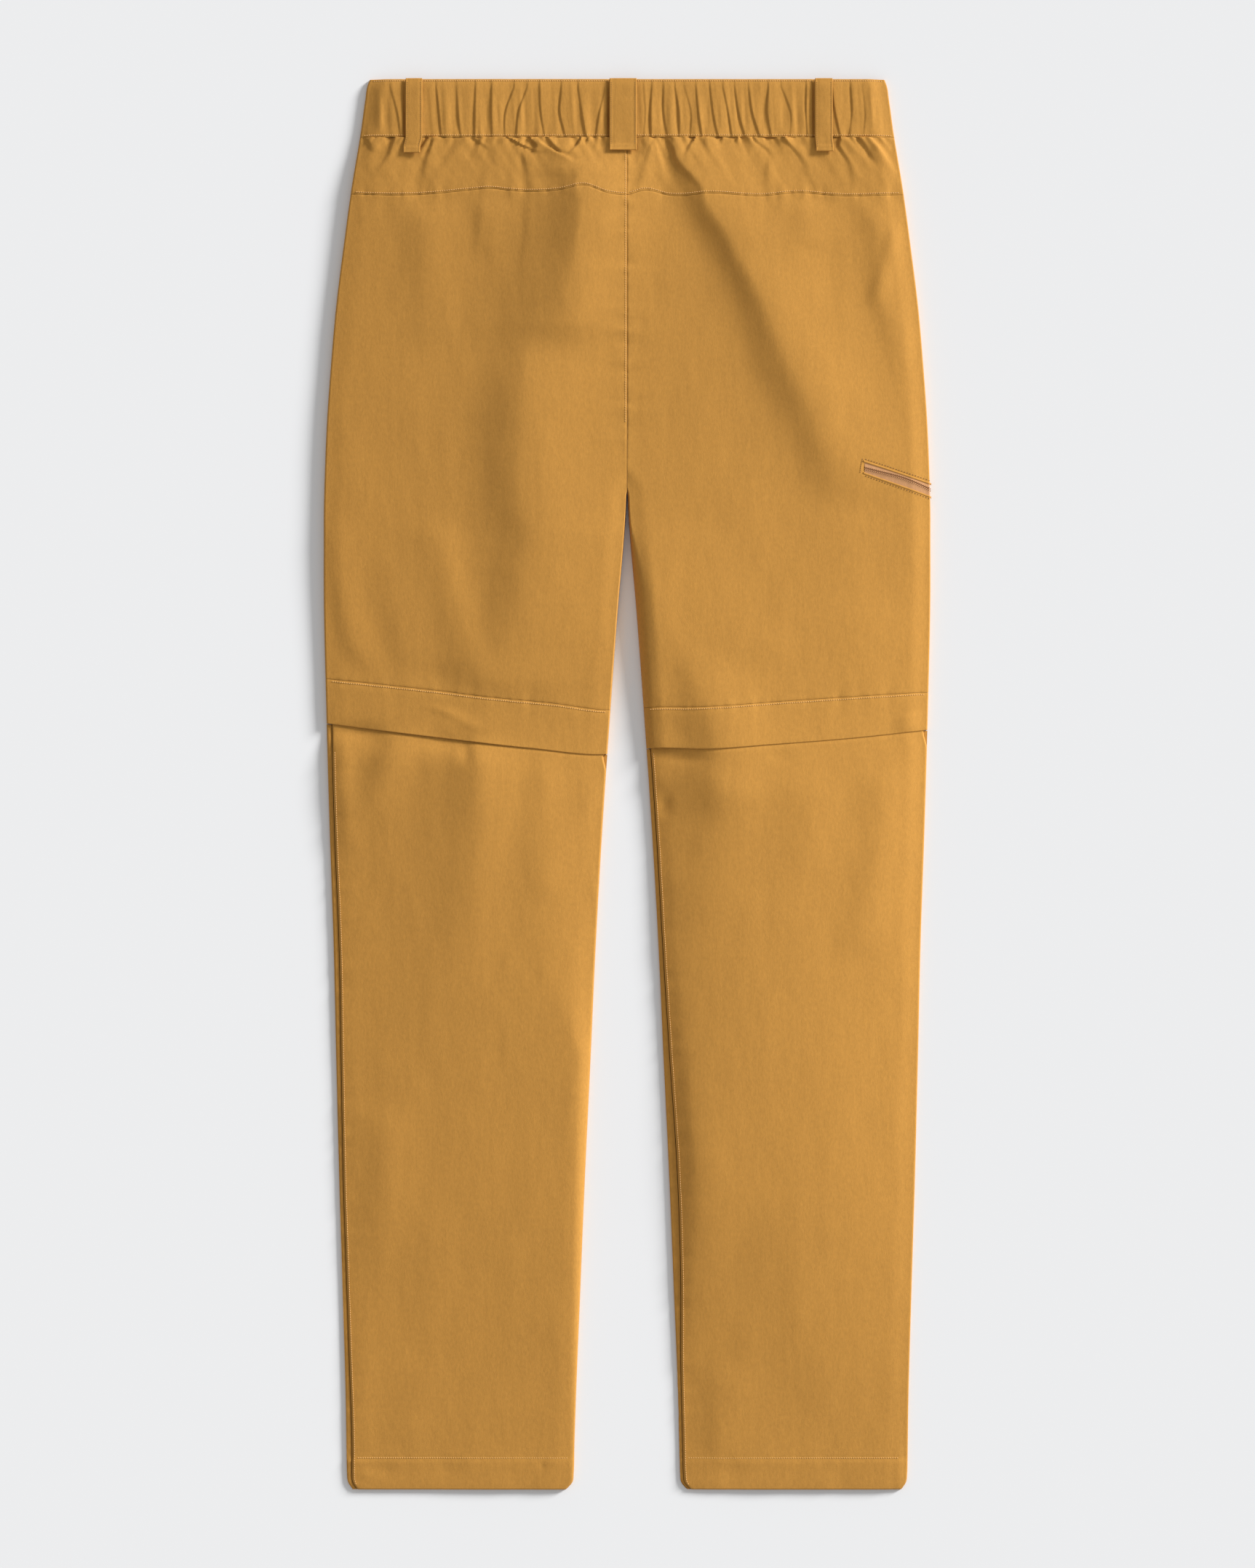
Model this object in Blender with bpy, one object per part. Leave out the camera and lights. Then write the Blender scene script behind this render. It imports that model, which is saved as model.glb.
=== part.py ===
"""Convertible zip-off trousers, laid flat on a table with their back side up.

Every piece of cloth is a wall of even thickness, worked out from the garment's sizes. Tables are in
millimetres. A height is measured up from the hem, x runs across from the centre back seam, and z is
the height above the table. The left side is the wearer's left, at -X.
"""

import collections

import bmesh
import bpy
import numpy as np

MM = 0.001

# Driving sizes, in millimetres
TOTAL_LENGTH = 1066.5
LOOP_TOP = TOTAL_LENGTH + 0.3
ORIGIN_HEIGHT = LOOP_TOP / 2
BAND_SEAM = 1022.3
CROTCH = 801.6
GAP = 0.3
CLOTH = 1.5
BAND_CLOTH = 2.2
FRONT_BAND_CLOTH = 2.0
FLAP_CLOTH = 1.8
TAPE = 0.9
SHOULDER = 5.0
FOOT_ROUND = 2.4
SEAM_LEVEL = CLOTH + GAP
BAND_LEVEL = FRONT_BAND_CLOTH + GAP
FLAP_PROUD = 0.6
TUCK_DEPTH = 2.2
TUCK_LENGTH = 55.0
TUCK_UNDER = 12.0
TUCK_INSET = 2.8
HEM_DEPTH = 24.0
HEM_PROUD = 0.5
KNEE_ZIP_RISE = 20.0
KNEE_ZIP_INSET = 7.0
KNEE_ZIP_OVERLAP = 8.0
TAPE_TUCK = 4.0
LEG_CROWN = 3.6
SEAT_CROWN = 3.0

# How far the cloth takes to pass from one level to the next
BAND_BLEND = 20.0
PARTING_START = 8.0
PARTING_LENGTH = 60.0
CROWN_START = 40.0
CROWN_LENGTH = 160.0
SEAT_CROWN_START = 120.0
FLAP_BLEND = 12.0
TUCK_INSET_START = 14.0
TUCK_INSET_LENGTH = 13.0
TURNED_STEP = 1.5
LEAN_LENGTH = 8.0

# How the walls are divided
BAND_COLUMNS = 150
SEAT_COLUMNS = 36
LOWER_COLUMNS = 18
ROUND = 4
BOTH_ROUND = (ROUND, ROUND)
ROLL_SHARE = 0.4
FOOT_SHARE = 0.3
SHARP_ANGLE = 0.7
SLOPE_SHARE = 0.1
SLOPE_STEP = 0.2
SNAP_SIDES = 24

# An x within each side from which the true x of a seam or edge is found
MID_THIGH = 110.0
MID_LEG = 125.0

SIDES = (("left", -1), ("right", 1))

Section = collections.namedtuple("Section", "height outer inner crest")
SECTIONS = (
    Section(1066.5, 194.7, 0.0, 5.6),
    Section(1062.0, 196.4, 0.0, 6.4),
    Section(1052.0, 198.0, 0.0, 6.8),
    Section(1028.0, 201.3, 0.0, 6.8),
    Section(984.0, 208.5, 0.0, 6.9),
    Section(940.0, 214.5, 0.0, 6.8),
    Section(896.0, 220.0, 0.0, 6.6),
    Section(852.0, 223.9, 0.0, 6.6),
    Section(808.0, 227.0, 0.0, 6.6),
    Section(764.0, 228.8, 0.0, 6.6),
    Section(738.0, 229.4, 0.9, 6.6),
    Section(720.0, 229.4, 2.2, 6.6),
    Section(676.0, 229.4, 6.1, 6.8),
    Section(588.0, 227.5, 12.7, 7.0),
    Section(500.0, 225.0, 18.7, 6.6),
    Section(412.0, 222.0, 23.7, 6.2),
    Section(324.0, 220.0, 27.7, 6.0),
    Section(236.0, 217.8, 31.9, 5.7),
    Section(148.0, 215.1, 35.5, 5.4),
    Section(60.0, 212.7, 39.1, 5.2),
    Section(6.0, 211.0, 40.8, 4.9),
    Section(0.0, 209.0, 43.0, 4.5),
)

# How far in from a leg's left edge its front is rolled onto the back face, below the knee
Roll = collections.namedtuple("Roll", "height left_leg right_leg")
ROLLS = (
    Roll(580.0, 4.0, 3.6),
    Roll(412.0, 4.4, 2.8),
    Roll(300.0, 4.0, 8.8),
    Roll(215.0, 3.0, 7.7),
    Roll(125.0, 3.6, 5.0),
    Roll(28.0, 4.8, 3.6),
    Roll(0.0, 3.4, 3.4),
)

SeamPoint = collections.namedtuple("SeamPoint", "x height")
YOKE_SEAM = (
    SeamPoint(-209.0, 979.3),
    SeamPoint(-171.6, 978.2),
    SeamPoint(-145.2, 979.3),
    SeamPoint(-122.1, 981.5),
    SeamPoint(-102.3, 982.9),
    SeamPoint(-85.0, 980.9),
    SeamPoint(-47.9, 981.5),
    SeamPoint(-33.0, 984.2),
    SeamPoint(-13.2, 978.2),
    SeamPoint(0.0, 977.6),
    SeamPoint(13.0, 981.2),
    SeamPoint(32.5, 977.6),
    SeamPoint(64.4, 978.7),
    SeamPoint(101.2, 977.1),
    SeamPoint(128.0, 979.7),
    SeamPoint(162.3, 977.6),
    SeamPoint(209.0, 979.0),
)
KNEE_SEAM = (
    SeamPoint(-225.5, 613.0),
    SeamPoint(-183.2, 608.6),
    SeamPoint(-138.6, 603.6),
    SeamPoint(-108.9, 599.8),
    SeamPoint(-56.1, 594.6),
    SeamPoint(-14.9, 589.6),
    SeamPoint(13.2, 591.5),
    SeamPoint(55.0, 591.9),
    SeamPoint(122.7, 596.5),
    SeamPoint(189.8, 600.9),
    SeamPoint(221.1, 602.8),
)
FLAP_EDGE = (
    SeamPoint(-226.9, 579.4),
    SeamPoint(-204.6, 576.4),
    SeamPoint(-138.6, 568.2),
    SeamPoint(-72.6, 560.7),
    SeamPoint(-14.3, 556.2),
    SeamPoint(14.9, 560.4),
    SeamPoint(63.8, 560.2),
    SeamPoint(105.6, 563.2),
    SeamPoint(173.3, 568.6),
    SeamPoint(227.7, 574.6),
)

# A gather of the waistband: where its trough runs, and how deep it is
Gather = collections.namedtuple("Gather", "top middle foot depth")
GATHERS = (
    Gather(-179.3, -173.8, -171.6, 0.9),
    Gather(-168.9, -168.3, -168.3, 1.6),
    Gather(-144.7, -142.5, -140.8, 1.5),
    Gather(-129.3, -128.2, -126.0, 1.1),
    Gather(-115.0, -115.5, -115.5, 1.5),
    Gather(-102.9, -102.9, -102.3, 1.4),
    Gather(-85.8, -92.4, -93.0, 1.4),
    Gather(-75.9, -82.5, -84.2, 1.3),
    Gather(-66.6, -65.5, -62.7, 1.5),
    Gather(-50.1, -51.2, -47.3, 1.3),
    Gather(-37.4, -34.7, -31.9, 1.7),
    Gather(-16.5, -21.5, -24.2, 0.9),
    Gather(12.1, 13.2, 12.1, 0.7),
    Gather(18.2, 17.1, 17.6, 1.7),
    Gather(27.0, 27.0, 30.3, 1.2),
    Gather(35.8, 38.5, 39.1, 1.2),
    Gather(42.9, 47.9, 47.3, 0.9),
    Gather(51.7, 53.4, 56.1, 1.4),
    Gather(62.2, 64.4, 68.2, 1.3),
    Gather(72.1, 75.9, 78.7, 1.3),
    Gather(80.9, 83.6, 88.6, 1.3),
    Gather(91.3, 94.1, 99.6, 1.4),
    Gather(106.2, 105.1, 108.4, 1.4),
    Gather(116.1, 123.2, 122.7, 1.0),
    Gather(134.8, 134.8, 135.9, 1.5),
    Gather(140.8, 140.8, 140.8, 1.4),
    Gather(154.0, 156.8, 160.6, 1.6),
    Gather(168.3, 169.4, 167.2, 1.3),
    Gather(177.5, 179.3, 178.2, 0.7),
)
GATHER_WIDTH = 2.3
GATHER_SWELL = ((1066.5, 0.3), (1056.0, 0.9), (1040.0, 1.0), (BAND_SEAM, 0.75))

# A fold's crest or trough: its points from the top down, and how far it falls off to each side
Fold = collections.namedtuple("Fold", "steep gentle line")
FoldPoint = collections.namedtuple("FoldPoint", "height x rise")


def fold(steep, gentle, *line):
    return Fold(steep, gentle, tuple(FoldPoint(*point) for point in line))


FOLDS = {
    "seat_left": fold(
        7, 16,
        (1022, -36, 1.0), (1006, -34.5, 2.8), (989, -34, 3.2), (955, -46, 2.6), (925, -52, 2), (886, -51, 0),
    ),
    "thigh_left": fold(
        22, 50,
        (940, -60, 0), (907, -66, 1.5), (846, -84, 3), (777, -80, 3.4), (716, -73, 3), (615, -87, 1.4),
        (560, -92, 0),
    ),
    "seat_right": fold(
        12, 45,
        (1022, 44, 0.8), (1010, 48, 2.4), (985, 60, 4), (930, 84, 4.8), (886, 110, 4.4), (792, 150, 2.6),
        (725, 168, 0),
    ),
    "hip_right": fold(
        9, 13,
        (985, 176, 0), (955, 186, 1.1), (925, 196, 1.3), (875, 203.5, 1.1), (800, 215, 0),
    ),
    "knee_left_outer": fold(
        10, 22,
        (700, -214, 0), (680, -209, 1.2), (650, -202, 1.8), (615, -192, 1.4), (575, -186, 0),
    ),
    "shin_left_outer": fold(
        8, 14,
        (590, -162, 0), (566, -169, 1.9), (535, -180, 2.1), (502, -195, 1), (485, -202, 0),
    ),
    "shin_left_middle": fold(
        9, 12,
        (590, -112, 0), (566, -114, 1.9), (535, -118, 2.1), (486, -116, 1.8), (430, -119, 1.4),
        (380, -122, 0),
    ),
    "inseam_left": fold(
        6, 8,
        (450, -27, 0), (419, -27, 1.3), (352, -35, 2.2), (291, -42, 2.4), (202, -43, 2.2), (51, -47, 1.6),
        (0, -48, 0.4),
    ),
    "inseam_right": fold(
        9, 18,
        (480, 35, 0), (440, 40, 0.9), (370, 45, 1.4), (310, 49, 2), (235, 54, 2.6), (180, 54, 2.2),
        (110, 49, 0.8), (70, 48, 0),
    ),
    "shin_right_inner": fold(
        15, 25,
        (590, 80, 0), (554, 80, 1.2), (470, 83, 1.2), (389, 84, 0.6), (330, 84, 0),
    ),
    "shin_right_outer": fold(
        15, 25,
        (590, 194, 0), (554, 192, 1), (470, 178, 1), (389, 160, 0.5), (340, 153, 0),
    ),
}

# Puckers that run down from the waistband seam
PUCKERS = (
    fold(3, 4, (1022, -173.3, -1), (1008, -182, -1.3), (992, -192, 0)),
    fold(3, 3, (1022, -147.4, -0.8), (1008, -147.4, -1.2), (983, -148.5, -0.4), (976, -149, 0)),
    fold(3, 3, (1022, -121.6, -0.6), (1008, -122, -1), (983, -123.8, -0.4), (976, -124, 0)),
    fold(3, 3, (1022, -116.6, -0.8), (1014, -107, -1.2), (1010, -101, 0)),
    fold(3, 3, (1022, -92.4, -1), (1014, -80, -1.2), (1004, -78.5, -1.3), (983, -74.3, -0.6), (976, -74, 0)),
    fold(3, 3, (1022, -78, -1), (1014, -67, -1.2), (1009, -66, 0)),
    fold(3, 3, (1022, -30, -1), (1015, -31, -1), (1008, -28, 0)),
    fold(3, 4, (1022, 15.4, -0.8), (1000, 9.9, -1), (979, 3.4, -0.5), (973, 2, 0)),
    fold(4, 4, (1022, 29.2, -0.5), (1012, 34.1, -1.3), (997, 38.5, -1.8), (978, 47.3, -1.5), (950, 58, 0)),
    fold(3, 3, (1022, 50.1, -1), (1013, 50.1, -1.2), (1003, 48.4, 0)),
    fold(4, 4, (1022, 94.6, -0.7), (1012, 100, -1.2), (1000, 106, -1.3), (983, 104.5, -0.6), (974, 104, 0)),
    fold(3, 3, (1022, 116.6, -0.8), (1010, 127, -1.2), (997, 133, -0.8), (990, 136, 0)),
    fold(4, 4, (1022, 156.2, -1.3), (1012, 159, -1.8), (1001, 166, -1.5), (986, 168, -0.7), (975, 166, 0)),
    fold(3, 3, (1022, 166.7, -0.8), (1012, 176, -1), (1002, 185, 0)),
)

# Belt loops: left edge and right edge at the top, and the height of the foot
BeltLoop = collections.namedtuple("BeltLoop", "left right foot lean")
BELT_LOOPS = {
    "belt_loop_back_left": BeltLoop(-167.2, -154.6, 1010.1, -1.6),
    "belt_loop_center_back": BeltLoop(-13.2, 7.2, 1011.8, 0.0),
    "belt_loop_back_right": BeltLoop(141.9, 155.1, 1011.2, 0.6),
}
LOOP_CLOTH = 1.6
LOOP_FOOT_PROUD = 0.6
LOOP_FOOT_LENGTH = 6.0

# The zip of the thigh pocket, on the wearer's right, from its inner end to the side
ZipPoint = collections.namedtuple("ZipPoint", "x height width")
THIGH_ZIP = (
    ZipPoint(180.0, 772.8, 9.7),
    ZipPoint(195.7, 767.7, 10.2),
    ZipPoint(212.5, 762.6, 11.0),
    ZipPoint(228.2, 756.8, 11.8),
)
FLY_ZIP_WIDTH = 24.0
FLY_ZIP_FOOT = 872.0
FLY_ZIP_TOP = BAND_SEAM - 2.0
SNAP_RADIUS = 7.0
SNAP_THICKNESS = 1.0

OCHRE = (0.47, 0.23, 0.062)
TAN_TAPE = (0.52, 0.27, 0.13)
METAL = (0.5, 0.5, 0.5)


def ease(share):
    """0 to 1 with a soft start and end."""
    share = np.clip(share, 0.0, 1.0)
    return share * share * (3.0 - 2.0 * share)


def along(places, values, at):
    """A smooth curve through the values at these places, read at each place asked for."""
    order = np.argsort(places)
    places = np.asarray(places, float)[order]
    values = np.asarray(values, float)[order]
    slopes = np.gradient(values, places)
    at = np.clip(at, places[0], places[-1])
    first = np.clip(np.searchsorted(places, at) - 1, 0, len(places) - 2)
    span = places[first + 1] - places[first]
    share = (at - places[first]) / span
    rising = share * share * (3.0 - 2.0 * share)
    leaving = share * (1.0 - share) ** 2 * span * slopes[first]
    arriving = share * share * (share - 1.0) * span * slopes[first + 1]
    return values[first] + rising * (values[first + 1] - values[first]) + leaving + arriving


def section(name, height):
    return along([row.height for row in SECTIONS], [getattr(row, name) for row in SECTIONS], height)


def seam(points, x):
    return along([point.x for point in points], [point.height for point in points], x)


def outer_edge(height):
    return section("outer", height)


def inner_edge(height):
    return np.maximum(section("inner", height), GAP / 2)


def straight_flap_edge(side, x):
    """The underside's flap ends on a straight line between the ends of the back's flap edge."""
    ends = sorted((FLAP_EDGE[i] for i in ((0, 4) if side < 0 else (5, 9))), key=lambda point: point.x)
    return np.interp(x, [point.x for point in ends], [point.height for point in ends])


def roll(leg, height):
    return along([row.height for row in ROLLS], [getattr(row, leg) for row in ROLLS], height)


def shoulder(distance):
    """The share of its height that the cloth has reached at this distance in from a folded edge."""
    share = np.clip(distance / SHOULDER, 0.0, 1.0)
    return np.sqrt(1.0 - (1.0 - share) ** 2)


def relief(folds, x, height):
    total = np.zeros_like(x)
    for one in folds:
        heights = [point.height for point in one.line]
        offset = x - along(heights, [point.x for point in one.line], height)
        rises = [point.rise for point in one.line]
        rise = np.interp(height, heights[::-1], rises[::-1])
        reach = np.where(offset < 0, one.steep, one.gentle)
        total = total + rise * np.exp(-((offset / reach) ** 2))
    return total


def gathers(x, height):
    swell = np.interp(height, *zip(*reversed(GATHER_SWELL)))
    total = np.zeros_like(x)
    for one in GATHERS:
        line = along((BAND_SEAM, 1040.0, 1060.0), (one.foot, one.middle, one.top), height)
        total = total - one.depth * np.exp(-(((x - line) / GATHER_WIDTH) ** 2))
    return total * swell * (height > BAND_SEAM)


def crown(x, height):
    """The legs are fuller along their middle than at their edges, and the seat is one broad rise."""
    inner = inner_edge(height)
    outer = outer_edge(height)
    share = (np.abs(x) - inner) / (outer - inner)
    legs = ease((CROTCH - CROWN_START - height) / CROWN_LENGTH)
    seat = (1.0 - (x / outer) ** 2) * ease((TOTAL_LENGTH - height) / SEAT_CROWN_START)
    return legs * LEG_CROWN * (1.0 - (2.0 * share - 1.0) ** 2) + (1.0 - legs) * SEAT_CROWN * seat


def crest_of(x, height, small=True):
    """How high the back lies away from its folded edges. A loop lies on it without its small gathers."""
    crest = section("crest", height) + crown(x, height) + relief(FOLDS.values(), x, height)
    if small:
        crest = crest + gathers(x, height) + relief(PUCKERS, x, height) * (height < BAND_SEAM)
    return crest


def rounded(crest, level, outside, inside, parted=1.0):
    """The crest brought down to the seam level at its two edges, from the distances in from each."""
    drop = 1.0 - shoulder(outside) + (1.0 - shoulder(inside)) * parted
    return crest - (crest - level) * np.minimum(drop, 1.0)


def back_face(x, height, small=True):
    """The outer face of the back above the table. Between crotch and waist its inner edge is a flat seam."""
    level = np.interp(height, (BAND_SEAM - BAND_BLEND, BAND_SEAM), (SEAM_LEVEL, BAND_LEVEL))
    parted = ease((CROTCH + PARTING_START - height) / PARTING_LENGTH)
    outside = outer_edge(height) - np.abs(x)
    inside = np.abs(x) - inner_edge(height)
    return rounded(crest_of(x, height, small), level, outside, inside, parted)


def flap_face(x, height):
    """The flap comes proud of the thigh's back just below the knee seam."""
    below = seam(KNEE_SEAM, x) - height
    away = shoulder(outer_edge(height) - np.abs(x)) * shoulder(np.abs(x) - inner_edge(height))
    return back_face(x, height) + FLAP_PROUD * ease(below / FLAP_BLEND) * away


def side_span(side, height):
    """Left and right edge of one side of the garment at each height: -1 is the wearer's left."""
    if side < 0:
        return -outer_edge(height), -inner_edge(height)
    return inner_edge(height), outer_edge(height)


def lower_span(side, x, height):
    """Edges of the lower leg, whose right edge is drawn in where it is tucked inside the flap."""
    left, right = side_span(side, height)
    above_start = height - seam(FLAP_EDGE, x) + TUCK_INSET_START
    return left, right - TUCK_INSET * ease(above_start / TUCK_INSET_LENGTH)


def lower_face(side, x, height):
    """The lower leg's outer face: it starts under the flap and comes up to its full height below it."""
    left, right = lower_span(side, x, height)
    below = seam(FLAP_EDGE, x) - height
    crest = crest_of(x, height) - TUCK_DEPTH * (1.0 - ease(below / TUCK_LENGTH))
    crest = crest + HEM_PROUD * ease((HEM_DEPTH - height) / TURNED_STEP)
    return rounded(crest, SEAM_LEVEL, x - left, right - x)


def across(share, left, right, columns, round_left, round_right):
    """x at this share of a sheet's columns. A rounded side takes the first or last few columns."""
    first = round_left / columns
    last = round_right / columns
    inset_left = SHOULDER if round_left else 0.0
    inset_right = SHOULDER if round_right else 0.0
    flat = (share - first) / (1.0 - first - last)
    x = left + inset_left + flat * (right - left - inset_left - inset_right)
    if round_left:
        turn = np.clip(share / first, 0.0, 1.0) * np.pi / 2
        x = np.where(share < first, left + SHOULDER * (1.0 - np.cos(turn)), x)
    if round_right:
        turn = np.clip((1.0 - share) / last, 0.0, 1.0) * np.pi / 2
        x = np.where(share > 1.0 - last, right - SHOULDER * (1.0 - np.cos(turn)), x)
    return x


def cloth_material(name, colour, roughness, metallic=0.0):
    material = bpy.data.materials.new(name)
    material.use_nodes = True
    shader = material.node_tree.nodes["Principled BSDF"]
    shader.inputs["Base Color"].default_value = (*colour, 1.0)
    shader.inputs["Roughness"].default_value = roughness
    shader.inputs["Metallic"].default_value = metallic
    return material


def wall(name, columns, rows, place, thickness, material, rounds=(0, 0), face_down=False):
    """A wall of cloth: a flat grid doubled by extrusion, its outer skin placed in millimetres, its inner
    skin a thickness further in. The ends and the unrounded sides are cut square to the table."""
    solid = bmesh.new()
    bmesh.ops.create_grid(solid, x_segments=columns, y_segments=rows, size=0.5)
    skin = bmesh.ops.extrude_face_region(solid, geom=solid.faces[:], use_keep_orig=True)["geom"]
    inner_points = [item for item in skin if isinstance(item, bmesh.types.BMVert)]
    bmesh.ops.translate(solid, verts=inner_points, vec=(0.0, 0.0, -1.0))
    flat = np.array([vert.co for vert in solid.verts])
    u = flat[:, 0] + 0.5
    v = flat[:, 1] + 0.5
    step_u = SLOPE_SHARE / columns
    step_v = SLOPE_SHARE / rows
    right_points = np.stack(place(np.minimum(u + step_u, 1.0), v), 1)
    left_points = np.stack(place(np.maximum(u - step_u, 0.0), v), 1)
    upper_points = np.stack(place(u, np.minimum(v + step_v, 1.0)), 1)
    lower_points = np.stack(place(u, np.maximum(v - step_v, 0.0)), 1)
    inward = np.cross(right_points - left_points, upper_points - lower_points) * (1.0 if face_down else -1.0)
    inward[(v < step_v) | (v > 1.0 - step_v), 1] = 0.0
    square = (u < step_u) & (not rounds[0]) | (u > 1.0 - step_u) & (not rounds[1])
    inward[square, 0] = 0.0
    inward *= thickness / np.linalg.norm(inward, axis=1, keepdims=True)
    points = np.stack(place(u, v), 1) + inward * (flat[:, 2:] < -0.5) - (0.0, ORIGIN_HEIGHT, 0.0)
    for vert, point in zip(solid.verts, points):
        vert.co = point * MM
    bmesh.ops.recalc_face_normals(solid, faces=solid.faces)
    if solid.calc_volume(signed=True) < 0.0:
        bmesh.ops.reverse_faces(solid, faces=solid.faces)
    mesh = bpy.data.meshes.new(name)
    solid.to_mesh(mesh)
    solid.free()
    mesh.materials.append(material)
    mesh.shade_smooth()
    mesh.set_sharp_from_angle(angle=SHARP_ANGLE)
    obj = bpy.data.objects.new(name, mesh)
    garment.objects.link(obj)


def between(share, low, high):
    return low + share * (high - low)


def level_line(height):
    """A straight seam at one height, as a function of x."""

    def line(x):
        return np.full_like(x, height)

    return line


def seam_line(points, offset=0.0):
    """A seam, or a line this far above it, as a function of x."""

    def line(x):
        return seam(points, x) + offset

    return line


def front_flap_line(side):
    def line(x):
        return straight_flap_edge(side, x)

    return line


def panel(name, side, columns, rows, low, high, face, thickness, rounds, material):
    """A piece of one side's back, between two seams that give their height at each x."""

    def place(u, v):
        x = np.full_like(u, side * MID_THIGH)
        for _ in range(2):
            height = between(v, low(x), high(x))
            x = across(u, *side_span(side, height), columns, *rounds)
        return x, height, face(x, height)

    wall(name, columns, rows, place, thickness, material, rounds)


def floor_panel(name, side, columns, rows, low, high, thickness, material):
    """A piece of one side's front, which lies flat on the table."""

    def place(u, v):
        x = np.full_like(u, side * MID_THIGH)
        for _ in range(2):
            height = between(v, low(x), high(x))
            x = between(u, *side_span(side, height))
        return x, height, np.zeros_like(x)

    wall(name, columns, rows, place, thickness, material, face_down=True)


def build_waistband(material):
    def back(u, v):
        height = between(v, BAND_SEAM + GAP / 2, TOTAL_LENGTH)
        x = across(u, -outer_edge(height), outer_edge(height), BAND_COLUMNS, *BOTH_ROUND)
        return x, height, back_face(x, height)

    wall("waistband_back", BAND_COLUMNS, 3, back, BAND_CLOTH, material, BOTH_ROUND)
    low = level_line(BAND_SEAM + GAP / 2)
    high = level_line(TOTAL_LENGTH)
    for name, side in SIDES:
        floor_panel(f"waistband_front_{name}", side, 3, 4, low, high, FRONT_BAND_CLOTH, material)


def build_belt_loop(name, loop, material):
    def place(u, v):
        height = between(v, loop.foot, LOOP_TOP)
        lean = loop.lean * ease((BAND_SEAM - height) / LEAN_LENGTH)
        x = between(u, loop.left, loop.right) + lean
        foot = LOOP_FOOT_PROUD * ease((loop.foot + LOOP_FOOT_LENGTH - height) / TURNED_STEP)
        return x, height, back_face(x, height, small=False) + GAP + LOOP_CLOTH + foot

    wall(name, 4, 12, place, LOOP_CLOTH, material)


def build_seat_and_thighs(material):
    above_knee = seam_line(KNEE_SEAM, GAP / 2)
    below_yoke = seam_line(YOKE_SEAM, -GAP / 2)
    above_yoke = seam_line(YOKE_SEAM, GAP / 2)
    below_band = level_line(BAND_SEAM - GAP / 2)
    back_pieces = (("yoke", 5, above_yoke, below_band), ("back_panel", 15, above_knee, below_yoke))
    for name, side in SIDES:
        for kind, rows, low, high in back_pieces:
            piece = f"{kind}_{name}"
            panel(piece, side, SEAT_COLUMNS, rows, low, high, back_face, CLOTH, BOTH_ROUND, material)
        floor_panel(f"front_panel_{name}", side, 4, 12, above_knee, below_band, CLOTH, material)


def build_flaps(material):
    edge = seam_line(FLAP_EDGE)
    top = seam_line(KNEE_SEAM, -GAP / 2)
    for name, side in SIDES:
        panel(f"zip_flap_back_{name}", side, 22, 3, edge, top, flap_face, FLAP_CLOTH, BOTH_ROUND, material)
        floor_panel(f"zip_flap_front_{name}", side, 5, 1, front_flap_line(side), top, CLOTH, material)


def build_knee_zip(name, side, material):
    """The tape runs round the leg under the flap: over the back, and inside the front."""

    def run(u, v, below_edge):
        middle = seam(FLAP_EDGE, np.full_like(u, side * MID_THIGH)) + KNEE_ZIP_RISE
        left, right = side_span(side, middle)
        x = between(u, left + KNEE_ZIP_INSET, right - KNEE_ZIP_INSET)
        return x, between(v, seam(FLAP_EDGE, x) - below_edge, seam(KNEE_SEAM, x) + TAPE_TUCK)

    def over_back(u, v):
        x, height = run(u, v, -TUCK_UNDER - GAP)
        return x, height, crest_of(x, height) - TUCK_DEPTH

    def inside_front(u, v):
        x, height = run(u, v, KNEE_ZIP_OVERLAP)
        return x, height, np.full_like(x, CLOTH + GAP + TAPE)

    wall(f"knee_zip_back_{name}", 12, 2, over_back, TAPE, material)
    wall(f"knee_zip_front_{name}", 6, 2, inside_front, TAPE, material)


def build_lower_leg(name, side, material):
    """The front is rolled round the leg's left edge onto the back face, where the back starts."""
    leg = f"{name}_leg"

    def back(u, v):
        x = np.full_like(u, side * MID_LEG)
        for _ in range(3):
            height = between(v, 0.0, seam(FLAP_EDGE, x) + TUCK_UNDER)
            left, right = lower_span(side, x, height)
            x = across(u, left + roll(leg, height) + GAP / 2, right, LOWER_COLUMNS, 0, ROUND)
        return x, height, lower_face(side, x, height)

    def front(u, v):
        over = 1.0 - np.clip(u / ROLL_SHARE, 0.0, 1.0)
        turn = np.clip((u - ROLL_SHARE) / FOOT_SHARE, 0.0, 1.0) * np.pi / 2
        flat = np.clip((u - ROLL_SHARE - FOOT_SHARE) / (1.0 - ROLL_SHARE - FOOT_SHARE), 0.0, 1.0)
        x = np.full_like(u, side * MID_LEG)
        for _ in range(3):
            height = between(v, 0.0, straight_flap_edge(side, x) - 2 * GAP)
            left, right = side_span(side, height)
            on_back = left + (roll(leg, height) - GAP / 2) * over**2
            underneath = left + FOOT_ROUND * (1.0 - np.cos(turn)) + flat * (right - left - FOOT_ROUND)
            x = np.where(over > 0.0, on_back, underneath)
        return x, height, np.where(over > 0.0, lower_face(side, x, height), SEAM_LEVEL * (1.0 - np.sin(turn)))

    wall(f"lower_back_{name}", LOWER_COLUMNS, 14, back, CLOTH, material, (0, ROUND))
    wall(f"lower_front_{name}", 10, 14, front, CLOTH, material, face_down=True)


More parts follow.
